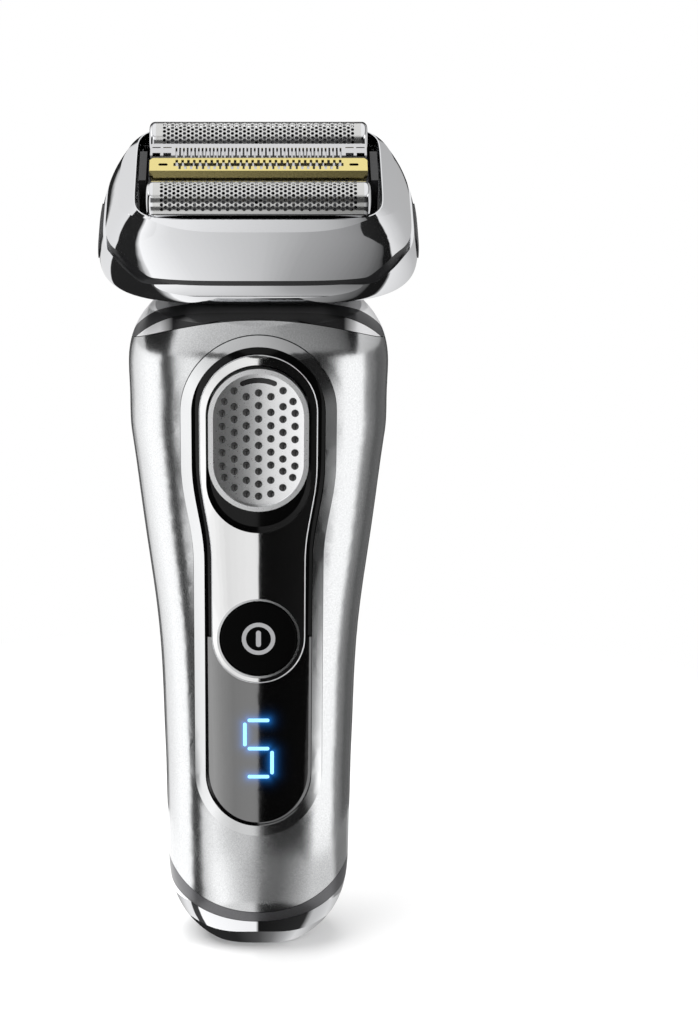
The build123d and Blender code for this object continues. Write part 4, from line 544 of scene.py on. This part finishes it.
# %% The gold guard
HOLE_PLACE, HOLE_HALF_LENGTH, HOLE_ROUNDING = 18.3, 0.9, 0.28
gold = folded_guard(-GUARD_CENTRE, 3.1, 0.9, 0.3, 2)
cut(gold, cutter_block(-16.3, 16.3, -2.72, -1.92))
cut(gold, row_of_blocks(29, 1.12, 0.5, -2.0, -1.1))
cut(gold, row_of_blocks(28, 1.12, 0.5, -3.5, -2.6))
for side in (-1, 1):
    middle = side * HOLE_PLACE
    hole = cutter_block(middle - HOLE_HALF_LENGTH, middle + HOLE_HALF_LENGTH, -2.62, -2.02)
    pick(hole, "EDGE", lambda ends: abs(ends[0].z - ends[1].z) > 1)
    bpy.ops.mesh.bevel(offset=HOLE_ROUNDING * MM, segments=4, affect="EDGES")
    bpy.ops.object.mode_set(mode="OBJECT")
    cut(gold, hole)
settle(
    gold, "gold_lift_guard", "lift_unit", GOLD_NITRIDE, HEAD,
    ("lift_trimmer_guard",), 20,
)

# %% The comb guard
comb = folded_guard(GUARD_CENTRE, 3.3, 0.5, 1.1, 4)
cut(comb, row_of_blocks(45, 0.72, 0.36, 0.2, 3.0))
for side in (-1, 1):
    for middle in (side * 17.6, side * 19.7):
        cut(comb, cutter_block(middle - 0.75, middle + 0.75, 0.75, 1.6))
        cut(comb, cutter_block(middle - 0.8, middle + 0.8, 2.95, 3.2))
settle(
    comb, "silver_comb_guard", "comb_unit", COMB_SILVER, HEAD,
    ("comb_trimmer_guard",), 20,
)

# %% [markdown]
# ## Carriers under the guards
# Under each guard lies a black open box, with its long edges rounded. It gives the dark line
# between the guards and the foils.

# %% Two carriers
CARRIER_HALF_LENGTH, CARRIER_HALF_WIDTH = 20.7, 2.05
CARRIER_BOTTOM = -3.4
for name, centre, body, slot_name in (
    ("lift_carrier", -GUARD_CENTRE, "lift_unit", "lift_gold"),
    ("comb_carrier", GUARD_CENTRE, "comb_unit", "comb_silver"),
):
    carrier = block(
        (-CARRIER_HALF_LENGTH, centre - CARRIER_HALF_WIDTH, CARRIER_BOTTOM),
        (CARRIER_HALF_LENGTH, centre + CARRIER_HALF_WIDTH, GUARD_BOTTOM),
    )
    pick(carrier, "EDGE", lambda ends: abs(ends[0].z - ends[1].z) > 1)
    bpy.ops.mesh.bevel(offset=0.5 * MM, segments=3, affect="EDGES")
    pick(carrier, "FACE", lambda ends: len({round(c.z, 2) for c in ends}) == 1)
    bpy.ops.mesh.delete(type="FACE")
    bpy.ops.object.mode_set(mode="OBJECT")
    apply_modifier(
        carrier, "SOLIDIFY", thickness=GUARD_SHEET * MM, offset=-1, use_even_offset=True
    )
    settle(carrier, name, body, SATIN_BLACK, HEAD)

# %% [markdown]
# ## Leaf springs
# Each foil and each guard floats on two bent leaves that stand on the cassette's floor. A leaf is a
# thin block, cut into short lengths and arched. When its foil or guard is pressed in, the real leaf
# goes flatter.

# %% Eight leaves
SPRING_LOW, SPRING_HIGH, SPRING_TRAVEL = -5.5, -3.4, 1.5
LEAF_PLACE, LEAF_HALF_LENGTH, LEAF_THICKNESS = 15.5, 3.5, 0.25
LEAF_CLEARANCE = 0.02
for name, centre, half_width, joint in (
    ("front_foil", -FOIL_CENTRE, 4.4, "front_foil_float"),
    ("lift_trimmer", -GUARD_CENTRE, 2.1, "lift_trimmer_float"),
    ("comb_trimmer", GUARD_CENTRE, 2.1, "comb_trimmer_float"),
    ("rear_foil", FOIL_CENTRE, 4.4, "rear_foil_float"),
):
    height = SPRING_HIGH - SPRING_LOW
    leaves = []
    for middle in (-LEAF_PLACE, LEAF_PLACE):
        leaf = block(
            (middle - LEAF_HALF_LENGTH, centre - half_width, SPRING_LOW),
            (middle + LEAF_HALF_LENGTH, centre + half_width, SPRING_LOW + LEAF_THICKNESS),
        )
        bpy.ops.object.mode_set(mode="EDIT")
        bpy.ops.mesh.select_all(action="SELECT")
        bpy.ops.mesh.subdivide(number_cuts=9)
        bpy.ops.object.mode_set(mode="OBJECT")
        for corner in leaf.data.vertices:
            share = 1 - ((corner.co.x / MM - middle) / LEAF_HALF_LENGTH) ** 2
            corner.co.z += (height - LEAF_THICKNESS - LEAF_CLEARANCE) * share * MM
        leaves.append(leaf)
    leaf_pair = settle(
        join(leaves), name + "_leaves", "cassette", ZINC_STEEL, HEAD,
        (name + "_springs",),
    )
    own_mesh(leaf_pair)

# %% [markdown]
# ## Grip nubs on the lock slider
# The slider is a metal dish with rows of small rubber domes that hold the thumb. One dome is half
# a sphere, flattened a little. Copies of it go onto the dish, which is part of a wide cylinder, so
# each dome leans to the middle by as much as the dish does.

# %% The slider's frame
slider_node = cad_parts["lock_slider"]
slider_low, slider_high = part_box("lock_slider")
PAD_LEAN = math.radians(94.085)
DISH_RADIUS = 46 * MM
RAY_START = 0.02
pad_out = Vector((0, -math.sin(PAD_LEAN), math.cos(PAD_LEAN)))
slider_middle = Vector((0, slider_low.y, (slider_low.z + slider_high.z) / 2))
_, dish_middle, _, _ = slider_node.ray_cast(slider_middle + pad_out * RAY_START, -pad_out)
PAD = Matrix.Translation(dish_middle) @ Matrix.Rotation(PAD_LEAN, 4, "X")
print("dish of the slider at", [round(1000 * v, 2) for v in PAD.translation])

# %% Domes
NUB_COLUMNS = (
    (0.0, (10.6, 8.05, 5.35, 2.7, 0.0, -2.7, -5.3, -7.9, -10.4)),
    (2.4, (9.85, 6.7, 4.0, 1.35, -1.35, -4.0, -7.1, -9.9)),
    (4.75, (11.1, 7.9, 5.35, 2.7, 0.0, -2.7, -5.2, -8.55)),
    (7.1, (9.0, 6.65, 4.0, 1.35, -1.35, -4.05, -6.4)),
)
NUB_DROP = 1.3
NUB_RADIUS = 0.76 * MM
NUB_FOOT = -0.1 * MM
NUB_FLATTENING = 0.9
CORNER_SHIFT = 0.42
bpy.ops.object.select_all(action="DESELECT")
bpy.ops.mesh.primitive_uv_sphere_add(segments=14, ring_count=8, radius=NUB_RADIUS)
dome = bpy.context.object
bpy.ops.object.mode_set(mode="EDIT")
bpy.ops.mesh.select_all(action="SELECT")
bpy.ops.mesh.bisect(
    plane_co=(0, 0, NUB_FOOT), plane_no=(0, 0, -1), clear_outer=True, use_fill=True
)
bpy.ops.mesh.select_all(action="SELECT")
bpy.ops.transform.resize(value=(1, 1, NUB_FLATTENING), center_override=(0, 0, 0))
bpy.ops.object.mode_set(mode="OBJECT")
domes = []
for column, heights in NUB_COLUMNS:
    for row, height in enumerate(heights):
        at_corner = column == NUB_COLUMNS[-1][0] and row in (0, len(heights) - 1)
        edge = CORNER_SHIFT if at_corner else 0
        for side in (-1, 1) if column else (1,):
            across = side * (column - edge) * MM
            copy = dome.copy()
            copy.data = dome.data.copy()
            scene.collection.objects.link(copy)
            lean = math.asin(across / DISH_RADIUS)
            copy.matrix_world = PAD @ Matrix.Translation(
                (across, (height - NUB_DROP) * MM, DISH_RADIUS * (1 - math.cos(lean)))
            ) @ Matrix.Rotation(-lean, 4, "Y")
            domes.append(copy)
bpy.data.objects.remove(dome)
settle(
    join(domes), "lock_nub_domes", "lock", NUB_RUBBER, None, ("lock_nubs",), 40
)
print("domes:", len(domes))

# %% [markdown]
# ## Lock mark on the slider
# A short curved slot above the domes shows which way the lock works. A small upright face is spun
# round a centre below it into an arc, two discs round its ends, and the whole is bent to the dish,
# like a fill of black lacquer.

# %% A curved mark
MARK_RADIUS = 8.2 * MM
MARK_HALF_WIDTH = 0.52 * MM
MARK_THICKNESS = 0.12 * MM
MARK_TURN = math.radians(44)
MARK_LIFT = 3.6 * MM
bpy.ops.object.select_all(action="DESELECT")
bpy.ops.mesh.primitive_plane_add(
    size=1, location=(0, MARK_RADIUS, 0), rotation=(0, math.radians(90), 0)
)
mark = bpy.context.object
mark.scale = (MARK_THICKNESS, 2 * MARK_HALF_WIDTH, 1)
bpy.ops.object.transform_apply()
bpy.ops.object.mode_set(mode="EDIT")
bpy.ops.mesh.select_all(action="SELECT")
bpy.ops.mesh.spin(steps=18, angle=MARK_TURN, center=(0, 0, 0), axis=(0, 0, 1))
bpy.ops.object.mode_set(mode="OBJECT")
turns = [math.atan2(corner.co.x, corner.co.y) for corner in mark.data.vertices]
mark.rotation_euler.z = (min(turns) + max(turns)) / 2
make_active(mark)
bpy.ops.object.transform_apply()
for side in (-1, 1):
    turn = side * MARK_TURN / 2
    bpy.ops.object.select_all(action="DESELECT")
    bpy.ops.mesh.primitive_cylinder_add(
        vertices=24, radius=MARK_HALF_WIDTH, depth=MARK_THICKNESS,
        location=(MARK_RADIUS * math.sin(turn), MARK_RADIUS * math.cos(turn), 0),
    )
    end = bpy.context.object
    bpy.ops.object.transform_apply()
    apply_modifier(mark, "BOOLEAN", operation="UNION", object=end, solver="EXACT")
    bpy.data.objects.remove(end)
for corner in mark.data.vertices:
    corner.co.z += corner.co.x ** 2 / (2 * DISH_RADIUS)
    corner.co.y += MARK_LIFT
settle(mark, "lock_mark", "lock", NUB_RUBBER, PAD)

# %% [markdown]
# ## Power mark on the button
# The button carries a printed ring with a bar in it, the usual sign for power. The ring is a thin
# disc with a smaller disc cut out of it, and the bar is a thin block with round ends. They lie a
# few hundredths of a millimetre above the button, as print does.

# %% Ring and bar
button_low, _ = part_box("power_button")
BUTTON_HEIGHT = 69.1
BUTTON_MIDDLE = (0, button_low.y, BUTTON_HEIGHT * MM)
BUTTON = Matrix.Translation(BUTTON_MIDDLE) @ Matrix.Rotation(math.radians(90), 4, "X")
PRINT_REACH = 0.03


def disc(radius, thickness):
    """A flat disc around the origin."""
    bpy.ops.object.select_all(action="DESELECT")
    bpy.ops.mesh.primitive_cylinder_add(vertices=72, radius=radius * MM, depth=thickness * MM)
    return bpy.context.object


ring = disc(3.35, 2 * PRINT_REACH)
cut(ring, disc(2.5, 0.2))
bar = block((-0.5, -1.7, -PRINT_REACH), (0.5, 1.7, PRINT_REACH))
pick(bar, "EDGE", lambda ends: abs(ends[0].z - ends[1].z) > 0.01)
bpy.ops.mesh.bevel(offset=0.49 * MM, segments=6, affect="EDGES")
bpy.ops.object.mode_set(mode="OBJECT")
settle(join([ring, bar]), "power_mark", "button", PRINT_GREY, BUTTON)

# %% [markdown]
# ## Lit digit behind the window
# A seven-segment digit shines through the dark window and tells the charge. Each segment is a
# slim block with rounded ends that gives off light. The soft glow round it belongs to the window,
# so the window's finish measures how far each point lies from the nearest segment and fades a blue
# light with that distance.

# %% Segments of the digit
DIGIT_HEIGHT = 45.7
SEGMENTS = (
    ((0.0, 6.0), (2.2, 0.36)),
    ((-2.75, 3.0), (0.36, 2.5)),
    ((0.0, 0.0), (2.2, 0.36)),
    ((2.75, -3.0), (0.36, 2.5)),
    ((0.0, -6.0), (2.2, 0.36)),
)
window_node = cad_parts["display_window"]
bars = []
for (across, up), (half_width, half_height) in SEGMENTS:
    _, place, _, _ = window_node.ray_cast((across * MM, -0.04, (DIGIT_HEIGHT + up) * MM), (0, 1, 0))
    depth = place.y / MM
    bar = block(
        (across - half_width, depth - 0.04, DIGIT_HEIGHT + up - half_height),
        (across + half_width, depth + 0.1, DIGIT_HEIGHT + up + half_height),
    )
    pick(bar, "EDGE", lambda ends: abs(ends[0].y - ends[1].y) > 0.05)
    bpy.ops.mesh.bevel(offset=0.34 * MM, segments=3, affect="EDGES")
    bpy.ops.object.mode_set(mode="OBJECT")
    bars.append(bar)
settle(join(bars), "charge_digit", "handle", LIT_SEGMENT)

# %% Glow in the window
GLOW_INSET, GLOW_REACH, GLOW_STRENGTH = 0.2, 0.55, 0.85
GLOW_BLUE = (0.02, 0.22, 0.75, 1)
glass = SMOKED_WINDOW
apart = place_of(glass)
nearest = None
for (across, up), (half_width, half_height) in SEGMENTS:
    over = []
    for axis, middle, half in (("X", across, half_width), ("Z", DIGIT_HEIGHT + up, half_height)):
        off = number(glass, "ABSOLUTE", number(glass, "SUBTRACT", apart[axis], middle * MM))
        past = number(glass, "SUBTRACT", off, (half - GLOW_INSET) * MM)
        over.append(number(glass, "MAXIMUM", past, 0))
    squares = [number(glass, "POWER", side, 2) for side in over]
    gap = number(glass, "SQRT", number(glass, "ADD", *squares))
    nearest = gap if nearest is None else number(glass, "MINIMUM", nearest, gap)
fade = number(glass, "POWER", math.e, number(glass, "MULTIPLY", nearest, -1 / (GLOW_REACH * MM)))
light = number(glass, "MULTIPLY", fade, GLOW_STRENGTH)
shader = glass.node_tree.nodes["Principled BSDF"]
glass.node_tree.links.new(light, shader.inputs["Emission Strength"])
shader.inputs["Emission Color"].default_value = GLOW_BLUE
print("glow round", len(SEGMENTS), "segments")

# %% [markdown]
# ## Bright edge of the control strip
# The strip's edge catches the light as a fine line. The line follows the strip's outline exactly,
# so it is taken from the strip itself: the edges between its front and its sides become a curve,
# and a small round bevel turns that curve into a wire.

# %% Edge line
BUTTON_OPENING = 8.75
WAIST_LOW, WAIST_HIGH, WAIST_HALF_WIDTH, FLARE_START = 80, 100, 9, 94
SLIDER_OPENING, SLIDER_OPENING_TOP = 10.9, 115.25


def on_outline(across, up):
    """Whether a front edge belongs to the strip's outline and not to one of its openings."""
    if up < WAIST_LOW:
        return math.hypot(across, up - BUTTON_HEIGHT) > BUTTON_OPENING
    if up < WAIST_HIGH:
        return abs(across) > WAIST_HALF_WIDTH + max(up - FLARE_START, 0) / 4
    return math.hypot(across, max(up - SLIDER_OPENING_TOP, 0)) > SLIDER_OPENING


edge_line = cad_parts["control_strip"].copy()
edge_line.data = edge_line.data.copy()
scene.collection.objects.link(edge_line)
make_active(edge_line)
bpy.ops.object.mode_set(mode="EDIT")
bpy.ops.mesh.select_all(action="SELECT")
bpy.ops.mesh.remove_doubles(threshold=0.002 * MM)
bpy.ops.object.mode_set(mode="OBJECT")
facing = {}
for face in edge_line.data.polygons:
    for key in face.edge_keys:
        facing.setdefault(key, []).append(face.normal.y)
pick(edge_line, "EDGE", lambda ends: False)
bpy.ops.object.mode_set(mode="OBJECT")
for edge in edge_line.data.edges:
    sides = facing[tuple(sorted(edge.vertices))]
    ends = [edge_line.data.vertices[corner].co for corner in edge.vertices]
    middle = sum(ends, Vector()) / (2 * MM)
    turned = len(sides) == 2 and min(sides) < -0.6 and max(sides) > -0.35
    edge.select = not (turned and on_outline(middle.x, middle.z))
bpy.ops.object.mode_set(mode="EDIT")
bpy.ops.mesh.delete(type="EDGE")
bpy.ops.object.mode_set(mode="OBJECT")
bpy.ops.object.convert(target="CURVE")
edge_line.data.bevel_depth = 0.12 * MM
edge_line.data.bevel_resolution = 2
edge_line.data.use_fill_caps = True
bpy.ops.object.convert(target="MESH")
settle(edge_line, "strip_edge_line", "handle", POLISHED_CHROME, None, (), 60)

# %% [markdown]
# ## The floor and the white ground
# The photograph has a white ground. Near the shaver the floor is lit paper, so that it takes a soft
# shadow, and further away it turns into plain white, so that it runs into the world without a
# horizon. The distance from the foot sets the share of each.

# %% Floor and world
bpy.ops.object.select_all(action="DESELECT")
bpy.ops.mesh.primitive_plane_add(size=8, location=(0, 0, 0))
floor = bpy.context.object
floor.name = "studio_floor"
paper = bpy.data.materials.new("studio_paper")
paper.use_nodes = True
nodes, links = paper.node_tree.nodes, paper.node_tree.links
shader = nodes["Principled BSDF"]
shader.inputs["Base Color"].default_value = (0.9, 0.9, 0.9, 1)
shader.inputs["Roughness"].default_value = 0.6
glow = nodes.new("ShaderNodeEmission")
glow.inputs["Color"].default_value = (1, 1, 1, 1)
place = nodes.new("ShaderNodeTexCoord")
away = nodes.new("ShaderNodeVectorMath")
away.operation = "LENGTH"
links.new(place.outputs["Object"], away.inputs[0])
share = nodes.new("ShaderNodeMapRange")
share.inputs["From Min"].default_value = 0.05
share.inputs["From Max"].default_value = 0.22
share.inputs["To Min"].default_value = 0.12
links.new(away.outputs["Value"], share.inputs["Value"])
mix = nodes.new("ShaderNodeMixShader")
links.new(share.outputs["Result"], mix.inputs["Fac"])
links.new(shader.outputs["BSDF"], mix.inputs[1])
links.new(glow.outputs["Emission"], mix.inputs[2])
links.new(mix.outputs["Shader"], nodes["Material Output"].inputs["Surface"])
floor.data.materials.append(paper)

world = bpy.data.worlds.new("studio_world")
scene.world = world
world.use_nodes = True
nodes, links = world.node_tree.nodes, world.node_tree.links
sky = nodes["Background"]
sky.inputs["Color"].default_value = (1, 1, 1, 1)
path = nodes.new("ShaderNodeLightPath")
level = nodes.new("ShaderNodeMapRange")
level.inputs["To Min"].default_value = 0.6
level.inputs["To Max"].default_value = 1.0
links.new(path.outputs["Is Camera Ray"], level.inputs["Value"])
links.new(level.outputs["Result"], sky.inputs["Strength"])
print("floor and world are in place")

# %% [markdown]
# ## The camera
# A long lens a little above the table looks straight at the front. The picture is shifted
# sideways, because the shaver stands left of the middle.

# %% Camera
bpy.ops.object.camera_add()
camera = bpy.context.object
camera.name = "photo_camera"
target = Vector((0, 0, 0.0915))
elevation = math.radians(14)
away = Vector((0, -math.cos(elevation), math.sin(elevation)))
camera.location = target + 0.48 * away
camera.rotation_euler = (-away).to_track_quat("-Z", "Y").to_euler()
camera.data.sensor_width = 36
camera.data.lens = 82.8
camera.data.shift_x = 0.0884
camera.data.clip_start = 0.01
scene.camera = camera
print("camera at", [round(v, 4) for v in camera.location])

# %% [markdown]
# ## Cards
# A shiny thing shows what is around it, so the look of the chrome comes from cards: bright towards
# the left, black towards the right, as a photographer sets them. Each card is a ring round the
# shaver with a few brightness stops along it, blended in between. Two stops in one direction give
# a hard edge. Four rings on the floor serve the foot and the body, four at the height of the head
# serve the head and the foils, and a disc hangs above. Only reflections see the cards.

# %% A graded card
STEP_DEGREES = 3


def ring_card(name, near, far, height, rise, stops, stretch=1.0):
    """A flat ring of light around the shaver with a wall at its rim, graded by direction."""
    turns = []
    for (start, first), (stop, second) in zip(stops, stops[1:]):
        steps = max(math.ceil((stop - start) / STEP_DEGREES), 1)
        for step in range(steps):
            share = step / steps
            turns.append((start + share * (stop - start), first + share * (second - first)))
    turns.append(stops[-1])
    corners, levels, faces = [], [], []
    for index, (turn, level) in enumerate(turns):
        across, ahead = math.sin(math.radians(turn)), -math.cos(math.radians(turn))
        for reach, up in ((near, height), (far, height), (far, height + rise)):
            corners.append((across * reach * stretch, ahead * reach, up))
            levels.append(level)
        if index:
            last = 3 * index
            faces.append((last - 3, last - 2, last + 1, last))
            faces.append((last - 2, last - 1, last + 2, last + 1))
    mesh = bpy.data.meshes.new(name)
    mesh.from_pydata(corners, [], faces)
    mesh.attributes.new("level", "FLOAT", "POINT").data.foreach_set("value", levels)
    card = bpy.data.objects.new(name, mesh)
    scene.collection.objects.link(card)
    material = bpy.data.materials.new(name + "_paint")
    material.use_nodes = True
    nodes, links = material.node_tree.nodes, material.node_tree.links
    nodes.remove(nodes["Principled BSDF"])
    level = nodes.new("ShaderNodeAttribute")
    level.attribute_name = "level"
    light = nodes.new("ShaderNodeEmission")
    light.inputs["Color"].default_value = (1, 1, 1, 1)
    links.new(level.outputs["Fac"], light.inputs["Strength"])
    links.new(light.outputs["Emission"], nodes["Material Output"].inputs["Surface"])
    mesh.materials.append(material)
    card.visible_camera = card.visible_diffuse = card.visible_shadow = False
    print(name, len(faces), "faces")


# %% Cards around the shaver
FOOT_STRETCH = 1.43
HEAD_LEVEL = 0.134
# Each stop is a direction in degrees, to the right of the camera, and a brightness
ring_card("foot_shadow_card", 0.0, 0.0115, 0.0003, 0.0, (
    (-180, 0.02), (-20, 0.025), (0, 0.08), (12, 0.2), (25, 0.5), (35, 0.8), (60, 0.5), (180, 0.02),
), FOOT_STRETCH)
ring_card("foot_card", 0.0115, 0.026, 0.0003, 0.0, (
    (-180, 0.06), (-120, 0.5), (-80, 1.0), (-66, 1.0), (-64, 0.06), (-52, 0.06), (-50, 1.3),
    (-2, 1.1), (0, 0.01), (36, 0.03), (44, 0.6), (80, 0.8), (130, 0.5), (180, 0.06),
), FOOT_STRETCH)
ring_card("lower_card", 0.026, 0.075, 0.0006, 0.0, (
    (-180, 1.2), (-88, 1.8), (-66, 1.8), (-60, 0.05), (-50, 0.05), (-44, 1.1), (-32, 1.7),
    (-24, 1.7), (-10, 1.0), (0, 0.6), (0, 0.2), (12, 0.2), (22, 0.4), (45, 1.0), (80, 1.0),
    (90, 0.3), (130, 0.3), (180, 1.2),
))
ring_card("body_card", 0.075, 1.2, 0.0009, 1.1, (
    (-180, 0.05), (-150, 0.1), (-130, 1.2), (-88, 1.8), (-68, 1.8), (-62, 0.02), (-50, 0.02),
    (-44, 1.3), (-30, 1.5), (-20, 1.1), (-12, 0.9), (0, 1.0), (0, 0.004), (30, 0.01), (38, 0.4),
    (46, 1.7), (74, 1.7), (84, 0.4), (110, 0.15), (150, 0.2), (160, 0.05), (180, 0.05),
))
HEAD_LEFT = (
    (-180, 0.35), (-168, 0.3), (-162, 0.02), (-142, 0.02), (-138, 0.85), (-88, 0.95), (-86, 0.02),
    (-54, 0.02), (-49, 1.2),
)
HEAD_RIGHT = (
    (63, 0.01), (65, 0.95), (80, 0.8), (110, 0.6), (146, 0.5), (150, 0.01), (165, 0.01),
    (170, 0.35), (180, 0.35),
)
ring_card("head_card", 0.0175, 0.055, HEAD_LEVEL, 0.0, (
    *HEAD_LEFT, (-30, 0.9), (-10, 0.74), (0, 0.66), (15, 0.45), (34, 0.32), (46, 0.22), (54, 0.1),
    (56, 0.01), *HEAD_RIGHT,
))
ring_card("head_shade_card", 0.055, 0.114, HEAD_LEVEL, 0.0, (
    *HEAD_LEFT, (-36, 0.9), (-26, 0.12), (0, 0.06), (20, 0.03), *HEAD_RIGHT,
))
ring_card("head_wall_card", 0.114, 0.115, HEAD_LEVEL, 0.034, (
    *HEAD_LEFT, (-30, 1.1), (-10, 1.0), (0, 0.8), (15, 0.45), (34, 0.2), (46, 0.1), (56, 0.01),
    *HEAD_RIGHT,
))
ring_card("foil_shade_card", 0.115, 0.116, 0.168, 0.046, (
    *HEAD_LEFT, (-36, 0.9), (-26, 0.16), (0, 0.10), (20, 0.03), *HEAD_RIGHT,
))
ring_card("top_card", 0.0, 0.35, 0.5, 0.0, ((-180, 1.0), (180, 1.0)))

# %% [markdown]
# ## Lamps
# Three soft lamps light the floor and the plastics. Reflections don't see them.

# %% Lamps
def lamp(name, size, place, look_at, power):
    """A soft square lamp that reflections don't see."""
    bpy.ops.object.light_add(type="AREA", location=place)
    light = bpy.context.object
    light.name = name
    light.data.size = size
    light.data.energy = power
    light.rotation_euler = (Vector(look_at) - Vector(place)).to_track_quat("-Z", "Y").to_euler()
    light.visible_glossy = False
    light.visible_camera = False


lamp("key_lamp", 0.9, (-0.5, -0.25, 1.2), (0, 0, 0.05), 14)
lamp("fill_lamp", 0.8, (0.9, -0.5, 0.8), (0, 0, 0.08), 4)
lamp("top_lamp", 0.6, (0, 0.3, 1.2), (0, 0, 0.1), 5)
print("lamps are in place")

# %% [markdown]
# ## Look and settings
# The Standard view transform shows a colour about as it is written.

# %% Finish
scene.view_settings.view_transform = "Standard"
